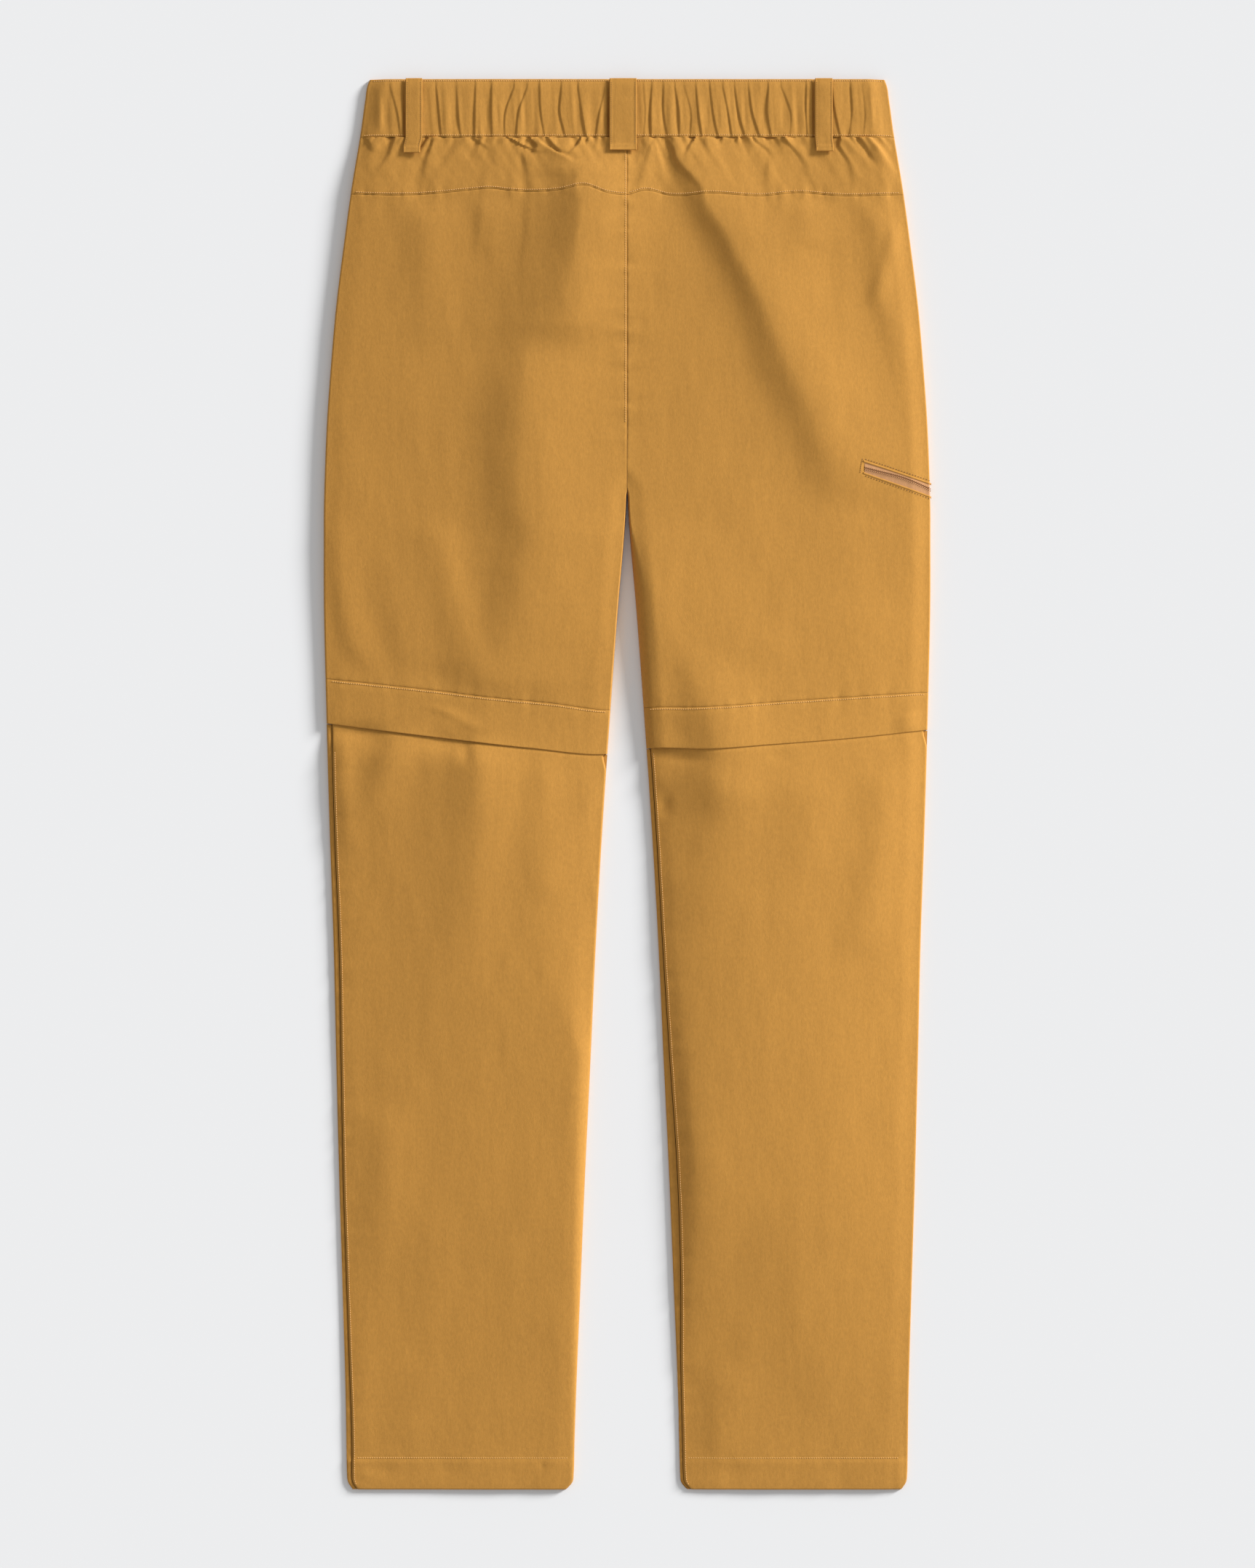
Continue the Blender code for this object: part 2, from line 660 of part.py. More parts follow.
def build_thigh_zip(material):
    """The tape follows the panel out to the side, lifted from its points along their normals."""
    places = [point.x for point in THIGH_ZIP]

    def place(u, v):
        x = between(1.0 - (1.0 - u) ** 1.5, places[0], places[-1])
        height = along(places, [point.height for point in THIGH_ZIP], x)
        height = height + (v - 0.5) * along(places, [point.width for point in THIGH_ZIP], x)
        z = back_face(x, height)
        slope = (back_face(x + SLOPE_STEP, height) - z) / SLOPE_STEP
        lift = (GAP + TAPE) / np.sqrt(1.0 + slope * slope)
        return x - lift * slope, height, z + lift

    wall("thigh_pocket_zip", 10, 2, place, TAPE, material, (0, ROUND))


def build_fly(tape, metal):
    def place(u, v):
        x = between(u, -FLY_ZIP_WIDTH / 2, FLY_ZIP_WIDTH / 2)
        height = between(v, FLY_ZIP_FOOT, FLY_ZIP_TOP)
        return x, height, np.full_like(x, CLOTH + GAP + TAPE)

    wall("fly_zip", 1, 1, place, TAPE, tape)
    disc = bmesh.new()
    bmesh.ops.create_cone(
        disc,
        cap_ends=True,
        segments=SNAP_SIDES,
        radius1=SNAP_RADIUS * MM,
        radius2=SNAP_RADIUS * MM,
        depth=SNAP_THICKNESS * MM,
    )
    mesh = bpy.data.meshes.new("waist_snap")
    disc.to_mesh(mesh)
    disc.free()
    mesh.materials.append(metal)
    snap = bpy.data.objects.new("waist_snap", mesh)
    middle_of_band = (BAND_SEAM + TOTAL_LENGTH) / 2 - ORIGIN_HEIGHT
    snap.location = (0.0, middle_of_band * MM, (FRONT_BAND_CLOTH + GAP + SNAP_THICKNESS / 2) * MM)
    garment.objects.link(snap)


for old in list(bpy.data.objects):
    bpy.data.objects.remove(old)
garment = bpy.data.collections.new("Convertible trousers")
bpy.context.scene.collection.children.link(garment)

shell_cloth = cloth_material("Ochre cloth", OCHRE, 0.85)
zip_tape = cloth_material("Tan zip tape", TAN_TAPE, 0.8)
snap_metal = cloth_material("Snap metal", METAL, 0.35, 1.0)

build_waistband(shell_cloth)
for loop_name, belt_loop in BELT_LOOPS.items():
    build_belt_loop(loop_name, belt_loop, shell_cloth)
build_seat_and_thighs(shell_cloth)
build_flaps(shell_cloth)
for side_name, side_sign in SIDES:
    build_knee_zip(side_name, side_sign, zip_tape)
    build_lower_leg(side_name, side_sign, shell_cloth)
build_thigh_zip(zip_tape)
build_fly(zip_tape, snap_metal)
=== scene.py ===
"""Looks of the convertible zip-off trousers, laid flat with their back side up.

Tables are in millimetres. A height is measured up from the hem, x runs across from the centre back seam,
and z is the height above the table. The left side is the wearer's left, at -X.
"""

import collections
from functools import partial

import bpy
import numpy as np
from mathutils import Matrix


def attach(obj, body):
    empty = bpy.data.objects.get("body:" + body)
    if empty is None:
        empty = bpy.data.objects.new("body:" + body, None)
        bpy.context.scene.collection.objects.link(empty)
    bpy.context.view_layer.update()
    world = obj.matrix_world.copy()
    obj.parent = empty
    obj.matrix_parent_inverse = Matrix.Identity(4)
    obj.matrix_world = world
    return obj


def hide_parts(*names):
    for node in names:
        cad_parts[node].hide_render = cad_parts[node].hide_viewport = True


MM = 0.001

# Driving sizes, as in the part's source
TOTAL_LENGTH = 1066.5
LOOP_TOP = TOTAL_LENGTH + 0.3
ORIGIN_HEIGHT = LOOP_TOP / 2
BAND_SEAM = 1022.3
CROTCH = 801.6
GAP = 0.3
SEAM_CLEAR = 0.1
SIDES = (("left", -1), ("right", 1))

# Thickness of the thin cloth that shows
SHELL = 0.8
BAND_SHELL = 1.5
LOOP_SHELL = 1.2
TAPE_SHELL = 0.6
LIP_SHELL = 0.3

# Edges: how round each is, the slow share of its rise, and the level that the cloth comes down to
EDGE_ROUND = 1.0
LEFT_ROUND = 1.4
EDGE_SLOPE = 15.0
FOOT_ROUND = 2.4
SHADED_SLOW = 0.12
LIT_SLOW = 0.34
BAND_SLOW_LEFT = 0.57
BAND_SLOW_RIGHT = 0.6
BAND_BLEND_FOOT = 980.0
BLEND = 60.0
SEAM_LEVEL = 1.1
ROLL_LEVEL = 1.3
ROLL_SUNK = 0.9
ROLL_GAP = 0.25

# Crowns of the legs and the seat, with the share of the width where each leg's crest runs at a height
LEFT_CROWN = 4.8
RIGHT_CROWN = 7.0
SEAT_CROWN = 4.0
HEM_CROWN = 0.12
FULL_CROWN_HEIGHT = 260.0
LEGS_TOP = 650.0
LEGS_BLEND = 130.0
SEAT_BLEND = 120.0
LEFT_PEAK = ((0.0, 0.98), (330.0, 0.95), (430.0, 0.72), (560.0, 0.5))
RIGHT_PEAK = ((0.0, 0.5), (150.0, 0.38), (560.0, 0.35))

# The right thigh's inner edge, which turns down broadly
THIGH_TOP = 735.0
THIGH_SWELL = 2.2
THIGH_REACH = 22.0
THIGH_SLOW = 0.16
THIGH_ROUND = 6.0

# Flaps, hems and what is tucked under them
FLAP_PROUD = 0.3
TUCK_DEPTH = 0.6
TUCK_LENGTH = 2.0
TUCK_UNDER = 12.0
TUCK_INSET = 2.8
HOLLOW_LENGTH = 26.0
HEM_DEPTH = 24.0
HEM_PROUD = 0.35
ZIP_DEPTH = 2.6

# Folds, puckers and gathers
TUCK_SCALE = 2.4
TUCK_SOFT = (0.25, 1.7)
TUCK_SOFTENING = 0.055
FOLD_FADE = 30.0
GATHER_RISE = 0.85
GATHER_LINE = 0.25

# Random unevenness of the cloth: its rise, its size across and up, and the seed of its pattern
Waves = collections.namedtuple("Waves", "rise across up seed")
FOLD_WAVER = Waves(0.9, 25.0, 9.0, 12)
GATHER_WAVER = Waves(0.3, 40.0, 16.0, 14)
GATHER_CHANGE = Waves(0.9, 10.0, 18.0, 15)
BAND_WAVES = Waves(0.9, 5.0, 60.0, 23)
BAND_CREASES = Waves(0.4, 2.6, 24.0, 24)
BAND_LINE = Waves(0.9, 6.0, 50.0, 51)
CRINKLE_SMALL = Waves(2.3, 3.0, 30.0, 31)
CRINKLE_WIDE = Waves(2.2, 8.0, 50.0, 32)
CRINKLE_LEFT = Waves(1.0, 6.0, 16.0, 33)
CRINKLE_RIGHT = Waves(1.0, 4.5, 13.0, 34)
CLOTH_BROAD = Waves(0.55, 34.0, 70.0, 3)
CLOTH_SOFT = Waves(0.25, 12.0, 30.0, 5)
CLOTH_FINE = Waves(0.10, 4.5, 11.0, 8)
SEAM_SMALL = Waves(1.0, 2.7, 30.0, 61)
SEAM_WIDE = Waves(1.4, 7.5, 40.0, 62)
HEM_WAVES = Waves(0.25, 9.0, 16.0, 21)
LOOP_WAVES = Waves(0.3, 6.0, 9.0, 40)

# Seams: a stitch's spacing, length and width, and where the rows of the left and right side run
Stitch = collections.namedtuple("Stitch", "spacing length width")
SEAM_STITCH = Stitch(1.75, 1.35, 0.56)
LOOP_STITCH = Stitch(1.6, 1.0, 0.4)
LIP_STITCH = Stitch(2.2, 1.3, 0.5)
END_STITCH = Stitch(1.4, 1.1, 0.5)
COIL_TURN = Stitch(1.5, 1.1, 0.62)
SEWN_SPANS = {
    "left": ((-206.0, -1.0), (-224.0, -17.0), (-205.0, -45.0)),
    "right": ((1.0, 206.0), (16.0, 224.0), (45.0, 205.0)),
}
SLOPE_STEP = 0.3

# Where the search for a panel's points starts, and how its mesh is shaded
PANEL_MIDDLE = 110.0
LEG_MIDDLE = 125.0
SHARP_ANGLE = 0.9

# Colours, light and camera
OCHRE = (0.510, 0.2445, 0.0462)
TAN_TAPE = (0.50, 0.255, 0.112)
# Ochre thread, made lighter than the cloth as painted sheen on the stitches
THREAD_WITH_PAINTED_SHEEN = (0.74, 0.43, 0.15)
# The thread darkened as painted shade, for the stitches on the belt loops and beside the thigh zip
PAINTED_SHADE_THREAD = (0.20, 0.10, 0.03)
TAN_COIL = (0.27, 0.125, 0.05)
STEEL = (0.5, 0.5, 0.5)
PALE_FLOOR = (0.92, 0.925, 0.935)
WEAVE_BUMP = 0.12
SUN_HEIGHT = 18.0
SUN_SIDE = 33.0
SUN_ANGLE = 16.0
KEY = 4.84
FILL = 0.44
LAMP_PLACE = (0.7, 0.02, 0.4)
LAMP_SIZE = 0.3
LAMP_POWER = 1.7
CAMERA_PLACE = (0.0003, 0.0003, 2.803)
CAMERA_LENS = 85.0


def table(row, *rows):
    """Rows of values under the names of their columns."""
    return tuple(row(*values) for values in rows)


Section = collections.namedtuple("Section", "height outer inner crest")
SECTIONS = table(
    Section,
    (1066.5, 194.7, 0, 5.6),
    (1062, 196.4, 0, 6.4),
    (1052, 198, 0, 6.8),
    (1028, 201.3, 0, 6.8),
    (984, 208.5, 0, 6.9),
    (940, 214.5, 0, 6.8),
    (896, 220, 0, 6.6),
    (852, 223.9, 0, 6.6),
    (808, 227, 0, 6.6),
    (764, 228.8, 0, 6.6),
    (738, 229.4, 0.9, 6.6),
    (720, 229.4, 2.2, 6.6),
    (676, 229.4, 6.1, 6.2),
    (588, 227.5, 12.7, 5),
    (500, 225, 18.7, 4.2),
    (412, 222, 23.7, 3.7),
    (324, 220, 27.7, 3.3),
    (236, 217.8, 31.9, 3.1),
    (148, 215.1, 35.5, 3),
    (60, 212.7, 39, 2.9),
    (30, 212.3, 39.9, 2.8),
    (18, 212.1, 40.1, 2.8),
    (12, 211.9, 40.4, 2.7),
    (5, 210.9, 41.5, 2.6),
    (0, 207.5, 46, 2.4),
)

Roll = collections.namedtuple("Roll", "height left_leg right_leg")
ROLLS = table(
    Roll,
    (580, 4, 3), (494, 3.8, 3.2), (412, 4.2, 3.2), (329, 3.8, 4.6), (247, 3.2, 6.2),
    (164, 3.2, 5.6), (82, 3.6, 2.6), (28, 4.2, 2.2), (0, 3.4, 2.2),
)

# How deep the leg lies hollow under its flap's edge
Hollow = collections.namedtuple("Hollow", "x depth")
HOLLOWS = table(
    Hollow,
    (-226, 0.5), (-144, 1.3), (-110, 1.1), (-56, 0.35), (-15, 0.2), (24, 1.1), (76, 0.4),
    (130, 0), (228, 0),
)

SeamPoint = collections.namedtuple("SeamPoint", "x height")
YOKE_SEAM = table(
    SeamPoint,
    (-209, 979.3), (-171.6, 978.2), (-145.2, 979.3), (-122.1, 981.5), (-102.3, 982.9), (-85, 980.9),
    (-47.9, 981.5), (-33, 984.2), (-13.2, 978.2), (0, 977.6), (13, 981.2), (32.5, 977.6),
    (64.4, 978.7), (101.2, 977.1), (128, 979.7), (162.3, 977.6), (209, 979),
)
KNEE_SEAM = table(
    SeamPoint,
    (-225.5, 613), (-183.2, 608.6), (-138.6, 603.6), (-108.9, 599.8), (-56.1, 594.6), (-14.9, 589.6),
    (13.2, 591.5), (55, 591.9), (122.7, 596.5), (189.8, 600.9), (221.1, 602.8),
)
FLAP_EDGE = table(
    SeamPoint,
    (-226.9, 579.4), (-204.6, 576.4), (-138.6, 568.2), (-72.6, 560.7), (-14.3, 556.2), (14.9, 560.4),
    (63.8, 560.2), (105.6, 563.2), (173.3, 568.6), (227.7, 574.6),
)

# A gather of the waistband: where its trough runs, and how deep it is
Gather = collections.namedtuple("Gather", "top middle foot depth")
GATHERS = table(
    Gather,
    (-179.3, -173.8, -171.6, 0.9),
    (-168.9, -168.3, -168.3, 1.6),
    (-144.7, -142.5, -140.8, 1.5),
    (-129.3, -128.2, -126, 1.1),
    (-115, -115.5, -115.5, 1.5),
    (-102.9, -102.9, -102.3, 1.4),
    (-85.8, -92.4, -93, 1.4),
    (-75.9, -82.5, -84.2, 1.3),
    (-66.6, -65.5, -62.7, 1.5),
    (-50.1, -51.2, -47.3, 1.3),
    (-37.4, -34.7, -31.9, 1.7),
    (-16.5, -21.5, -24.2, 0.9),
    (12.1, 13.2, 12.1, 0.7),
    (18.2, 17.1, 17.6, 1.7),
    (27, 27, 30.3, 1.2),
    (35.8, 38.5, 39.1, 1.2),
    (42.9, 47.9, 47.3, 0.9),
    (51.7, 53.4, 56.1, 1.4),
    (62.2, 64.4, 68.2, 1.3),
    (72.1, 75.9, 78.7, 1.3),
    (80.9, 83.6, 88.6, 1.3),
    (91.3, 94.1, 99.6, 1.4),
    (106.2, 105.1, 108.4, 1.4),
    (116.1, 123.2, 122.7, 1),
    (134.8, 134.8, 135.9, 1.5),
    (140.8, 140.8, 140.8, 1.4),
    (154, 156.8, 160.6, 1.6),
    (168.3, 169.4, 167.2, 1.3),
    (177.5, 179.3, 178.2, 0.7),
)

# How far the gathers stand up at each height
GATHER_SWELL = ((BAND_SEAM, 0.8), (1036, 1), (1050, 0.85), (1060, 0.55), (1066.5, 0.15))

# A fold's crest or trough, and how far it falls off to its steep side and to its gentle one
Fold = collections.namedtuple("Fold", "steep gentle heights places rises peak spread")


def fold(steep, gentle, *line, peak=2.0, spread=1.0):
    """A fold through points from the top down, each with its height, x and rise, or without one.

    A peak of 2 is a round crest, and of 1 a sharp one. The steep side is spread times as wide at the foot.
    """
    return Fold(steep, gentle, *zip(*((*point, 0)[:3] for point in line)), peak, spread)


FOLDS = dict(
    seat_left=fold(19, 46, (1022.2, -30.8, 1.32), (1013.9, -31.4, 3.63), (1002.9, -31.9, 5.61),
        (982.6, -32.5, 7.09), (955.1, -35.8, 6.93), (923.2, -41.2, 5.28), (892.9, -47.3, 3.13),
        (851.7, -53.9), peak=1.5, spread=1.5),
    seat_left_slope=fold(60, 26, (1008.4, -34.1), (982.6, -35.2, 2.64), (923.2, -42.9, 3.3),
        (890.2, -45.1, 2.64), (851.7, -47.9)),
    thigh_left=fold(27, 54, (945.2, -53.9), (906.7, -60, 1.48), (875.9, -66, 3.13), (852.2, -73.2, 4.95),
        (828.6, -77, 6.27), (797.2, -78.7, 6.6), (765.3, -77.6, 6.6), (737.8, -74.2, 6.43),
        (721.9, -71, 6.27), (698.2, -74.8, 5.77), (674.6, -78.1, 5.28), (658.6, -82.5, 4.78),
        (635, -90.2, 3.79), (608, -97.9, 2.47), (584.9, -102.3)),
    thigh_left_ridge=fold(20, 16, (747.2, -152.4), (721.9, -144.1, 1.15), (690.5, -135.9, 1.65),
        (658.6, -127.6, 1.81), (619, -117.7, 1.32), (595.9, -111.1)),
    yoke_left_patch=fold(18, 9, (1025.5, -45.1), (1018.9, -46.2, 1.48), (1008.4, -47.9, 1.81),
        (995.8, -50.1, 1.32), (984.8, -50.6)),
    hip_left_inner=fold(16, 22, (986.4, -152.9), (967.2, -152.4, 1.32), (895.7, -150.7, 1.15),
        (851.7, -149.6)),
    hip_left_streak=fold(6, 18, (982.6, -106.7), (972.7, -107.3, 0.99), (942.4, -110, 0.82),
        (923.2, -111.1)),
    seat_right=fold(11, 52, (1033.2, 34.1), (1022.7, 38.5, 0.82), (1012.8, 45.1, 2.15), (997.4, 51.2, 3.63),
        (982.6, 57.8, 4.78), (962.8, 67.1, 5.44), (947.4, 77.6, 5.61), (932, 85.8, 5.61),
        (913.3, 95.7, 5.44), (892.9, 106.2, 5.12), (874.2, 113.9, 4.78), (848.9, 123.8, 4.46),
        (830.2, 133.1, 4.12), (811.5, 142.5, 3.63), (786.8, 151.8, 2.97), (770.8, 159.5, 2.31),
        (752.7, 164.5, 1.32), (730.7, 169.4), spread=2.3),
    seat_right_skirt=fold(36, 30, (945.2, 79.2), (913.3, 95.7, 1.15), (874.2, 113.9, 1.98),
        (830.2, 133.1, 2.31), (785.7, 151.8, 1.81), (741.7, 167.2)),
    hip_right=fold(10, 14, (986.4, 169.4), (978.7, 173.2, 1.15), (962.8, 182.6, 1.32), (947.4, 189.2, 1.48),
        (924.3, 191.4, 1.32), (901.2, 192.5, 1.48), (877, 200.2, 1.15), (851.7, 206.3, 0.66),
        (818.7, 210.7)),
    hip_right_crease=fold(6, 8, (964.4, 200.2), (955.1, 201.3, 0.82), (924.3, 194.7, 0.82),
        (899, 187.6, 0.99), (886.9, 184.8)),
    seat_right_patch=fold(14, 18, (982.6, 133.1), (969.9, 136.4, 1.15), (945.2, 139.7, 0.99),
        (928.7, 141.9)),
    edge_v_outer=fold(9, 12, (747.2, -226.6), (730.7, -222.8, 0.49), (698.2, -218.9, 0.82),
        (674.6, -214.5, 0.99), (642.7, -206.8, 1.15), (623.4, -200.2, 0.82), (609.7, -196.4)),
    edge_v_inner=fold(12, 22, (719.7, -181.5), (705.9, -179.3, 0.49), (674.6, -174.4, 0.82),
        (646, -168.3, 0.99), (619, -162.8, 0.66), (609.7, -160.6)),
    inner_right_thigh=fold(22, 34, (741.7, 9.9), (698.8, 22, 0.99), (659.7, 34.7, 1.81), (631.7, 45.7, 2.47),
        (604.2, 56.7, 3.13), (576.7, 67.7, 3.63), (554.7, 70.4, 3.46), (527.2, 67.7, 2.15), (494.2, 62.2)),
    knee_right_soft_left=fold(30, 30, (741.7, 51.2), (706.5, 55, 0.82), (659.2, 75.9, 0.99),
        (636.6, 95.2, 0.99), (609.7, 100.7)),
    knee_right_soft_right=fold(26, 26, (686.7, 180.4), (642.7, 184.8, 0.99), (615.2, 185.9, 0.82),
        (571.2, 185.9)),
    flap_left_crease=fold(7, 9, (597, -155.1), (592.1, -147.4, 0.36), (586, -132, 0.49), (575, -116.6, 0.43),
        (570.1, -111.1)),
    flap_right_end=fold(7, 9, (590.4, 222.2), (586.6, 215.6, 0.66), (575, 207.9, 0.66), (570.1, 203.5)),
    shin_left_outer=fold(14, 18, (584.9, -168.3), (568.4, -173.2, 2.31), (554.7, -178.2, 2.47),
        (540.9, -183.7, 2.15), (527.2, -190.3, 1.65), (505.2, -197.5, 0.82), (485.9, -201.9)),
    shin_left_edge=fold(12, 10, (582.2, -216.7), (568.4, -215.6, 1.32), (532.7, -215.1, 1.48),
        (499.7, -212.3, 0.99), (466.7, -210.1)),
    shin_left_middle=fold(28, 24, (576.7, -110, 0.99), (560.2, -110, 3.13), (535.4, -110.6, 3.3),
        (505.2, -112.2, 3.13), (477.7, -114.4, 2.64), (450.2, -116.6, 2.15), (417.2, -119.4, 1.32),
        (384.2, -122.1, 0.66), (340.2, -124.3)),
    shin_left_middle_edge=fold(7, 10, (573.9, -111.7), (565.7, -112.8, 0.82), (543.7, -113.3, 0.74),
        (521.7, -115, 0.49), (494.2, -116.6), peak=1.4),
    shin_left_inner_soft=fold(14, 14, (571.2, -62.7), (551.9, -62.7, 0.82), (477.7, -64.9, 0.82),
        (428.2, -68.2)),
    shin_left_inner_diagonal=fold(18, 14, (549.2, -22), (535.4, -25.9, 0.66), (505.2, -41.8, 0.99),
        (472.2, -57.8, 0.82), (433.7, -69.9)),
    inseam_left_broad=fold(34, 16, (384.2, -30.8), (329.2, -31.9, 0.33), (246.7, -34.1, 0.58),
        (191.7, -36.3, 0.58), (136.7, -39.6, 0.33), (81.7, -42.4)),
    calf_left_outer=fold(16, 18, (301.7, -193.6), (287.9, -189.2, 0.66), (268.7, -184.3, 0.99),
        (246.7, -183.2, 1.15), (221.9, -182.1, 1.15), (197.2, -185.9, 0.82), (169.7, -190.9, 0.49),
        (136.7, -196.4)),
    hem_left_outer=fold(16, 18, (109.2, -146.3), (92.7, -150.7, 0.49), (59.7, -163.4, 0.66),
        (32.2, -171.6, 0.49), (21.2, -172.7)),
    inseam_right=fold(12, 24, (488.7, 33), (463.9, 37.4, 0.49), (411.7, 39.6, 0.82), (356.7, 44, 1.15),
        (312.7, 48.4, 1.81), (274.2, 51.7, 2.31), (235.7, 54.5, 2.47), (213.7, 55, 2.31),
        (180.7, 52.8, 1.65), (158.7, 50.6, 1.15), (109.2, 48.4, 0.66), (70.7, 48.4)),
    inseam_right_foot=fold(14, 22, (109.2, 67.7), (78.9, 70.4, 1.15), (48.7, 69.3, 1.32), (26.7, 71.5, 0.99),
        (1.4, 75.9)),
    shin_right_soft=fold(16, 16, (560.2, 198), (543.7, 195.8, 0.99), (494.2, 192, 1.15),
        (466.7, 187.6, 1.15), (417.2, 177.1, 0.99), (389.7, 169.4)),
    shin_right_middle=fold(18, 22, (554.7, 132), (527.2, 135.3, 0.82), (488.7, 136.4, 0.82), (444.7, 133.1)),
    shin_right_inner=fold(20, 28, (554.7, 53.9), (540.9, 67.1, 1.15), (510.7, 71.5, 1.15),
        (466.7, 67.7, 0.82), (411.7, 62.2)),
    calf_right_middle=fold(22, 26, (301.7, 136.4), (246.7, 128.7, 0.66), (191.7, 125.4, 0.82),
        (109.2, 133.7, 0.66), (54.2, 136.4)),
)

# Puckers that run down from the waistband seam
PUCKERS = (
    fold(3, 5, (1023.8, -200.8, 0.3), (1018.9, -195.8, 0.9), (1014.5, -194.2, 0.6), (1010.1, -192.5)),
    fold(3.5, 6, (1024.4, -174.4, 0.5), (1019.4, -176.6, 1), (1008.4, -181, 0.9), (996.3, -189.8, 0.5),
        (990.3, -194.7)),
    fold(2, 3.5, (1025.5, -148.5, 0.9), (1022.2, -150.2, 1.2), (1013.4, -155.7, 0.8), (1010.1, -156.8)),
    fold(7, 7, (1022.2, -146.3, 0.3), (1016.1, -148, 0.9), (1005.1, -152.4, 0.9), (987.5, -155.1, 0.4),
        (979.3, -156.2)),
    fold(3, 5, (1025.5, -117.7, 0.2), (1021.1, -115.5, 0.6), (1014.5, -106.7, 0.4), (1010.1, -102.3)),
    fold(1.5, 2.5, (1024.4, -94.6, 0.3), (1020.5, -87.5, 1.1), (1016.1, -79.8, 1.3), (1012.3, -71, 1),
        (1010.6, -68.2)),
    fold(2, 4, (1024.4, -74.8, 0.4), (1020, -72.6, 1.2), (1015, -68.8, 1.2), (1011.7, -71, 0.5),
        (1009.5, -72.1)),
    fold(4, 5, (1010.1, -79.2, 0.2), (1005.1, -78.1, 0.8), (996.3, -77, 0.9), (984.2, -74.2, 0.5),
        (977.1, -73.2)),
    fold(1.6, 3, (1024.4, -62.2, 0.4), (1019.4, -58.9, 0.9), (1014.5, -54.5, 1.2), (1011.2, -51.2, 1.2),
        (1009.5, -48.4)),
    fold(1.6, 2.6, (1024.9, -34.1, 1.1), (1022.2, -34.7, 1.5), (1016.1, -38, 1.6), (1012.3, -41.8, 1.4),
        (1009.5, -45.1, 0.8), (1007.9, -47.3)),
    fold(1, 2, (1025.5, -28.1, 0.9), (1022.2, -29.2, 1.1), (1017.2, -30.8, 0.6), (1015, -31.4)),
    fold(3, 4, (1023.3, -68.2), (1019.4, -66, -0.7), (1012.3, -55.6, -0.9), (1005.7, -43.5, -0.6),
        (1001.3, -38.5)),
    fold(2.6, 4, (1024.4, 22), (1018.9, 19.2, 0.35), (1002.4, 12.7, 0.5), (987.5, 7.7, 0.6),
        (978.2, 2.2, 0.5), (973.8, 1.1)),
    fold(2.6, 4.5, (1025.5, 28.1, 0.2), (1020.5, 30.3, 0.6), (1012.8, 34.1, 1), (1005.1, 35.8, 1.4),
        (998, 40.2, 1.4), (991.9, 46.2, 1.1), (984.8, 52.3, 0.7), (977.1, 55)),
    fold(3.5, 5, (1023.3, 20.9), (1018.3, 22, -0.5), (1005.1, 25.9, -0.7), (993, 29.7, -0.5), (982.6, 33)),
    fold(2.5, 4, (1025.5, 52.3, 1), (1022.2, 51.2, 1.4), (1014.5, 46.2, 1), (1007.9, 43.5, 0.3),
        (1005.7, 42.9)),
    fold(1.6, 2.4, (1024.9, 73.2, 0.9), (1021.1, 71.5, 0.9), (1016.7, 70.4)),
    fold(1.6, 2.4, (1024.9, 84.2, 0.7), (1021.1, 83.1, 0.8), (1017.2, 81.4)),
    fold(2, 4, (1024.4, 93.5, 0.6), (1018.9, 97.9, 0.7), (1013.4, 104.5, 0.5), (1005.7, 110)),
    fold(5, 6, (1008.4, 106.7), (999.1, 105.1, 0.8), (986.4, 103.4, 0.6), (978.2, 102.9)),
    fold(3, 5, (1024.4, 115, 0.5), (1018.3, 121, 0.8), (1005.7, 130.9, 0.6), (987.5, 138.1, 0.3),
        (982.6, 139.7)),
    fold(2, 4, (1025.5, 161.2, 0.8), (1020.5, 160.6, 1.1), (1016.1, 159.5, 1.1), (1011.2, 162.2, 1),
        (1004, 166.7, 0.9), (993, 168.9, 0.7), (984.2, 168.9, 0.4), (978.2, 167.8)),
    fold(3, 5, (1023.8, 172.7, 0.4), (1018.9, 177.1, 0.8), (1008.4, 183.7, 0.6), (1002.4, 187)),
    fold(4, 6, (1023.3, 183.7), (1016.7, 189.2, -0.7), (1004.6, 198, -0.8), (991.9, 204.6, -0.5),
        (982.6, 207.9)),
    fold(4, 7, (982.6, -80.3), (961.7, -77, 0.4), (928.7, -80.3, 0.4), (906.7, -82.5)),
)

# Small hollows and bumps: the middle, how far each reaches across and up, and its rise
Dent = collections.namedtuple("Dent", "x height across up rise")
DENTS = table(
    Dent,
    (-204.6, 573.4, 20, 6, -1.6),
    (-134.2, 565.7, 15, 7, -1.5),
    (-121.6, 556.9, 4, 7, -0.9),
    (-188.1, 564.6, 9, 7, -0.7),
    (42.9, 553.6, 15, 4.5, -1.3),
    (29.2, 517.3, 4.5, 8, -1.1),
    (33, 573.9, 13, 12, -0.7),
    (114.4, 554.7, 8, 4, -0.4),
    (-143, 615.2, 14, 10, -0.7),
    (34.7, 610.8, 12, 14, -0.6),
    (-188.1, 15.7, 13, 5, -0.6),
    (-136.4, 15.7, 8, 7, -0.5),
    (-64.4, 18.4, 2.5, 4, -0.5),
    (84.2, 14.6, 20, 8, -0.5),
    (-201.9, 6.9, 6, 4, -0.4),
    (-25.9, 454.6, 3.5, 9, 0.4),
    (23.7, 542.6, 5, 9, 0.5),
    (205.7, 13.5, 3, 14, 0.6),
    (-199.1, 81.7, 10, 60, 0.3),
)

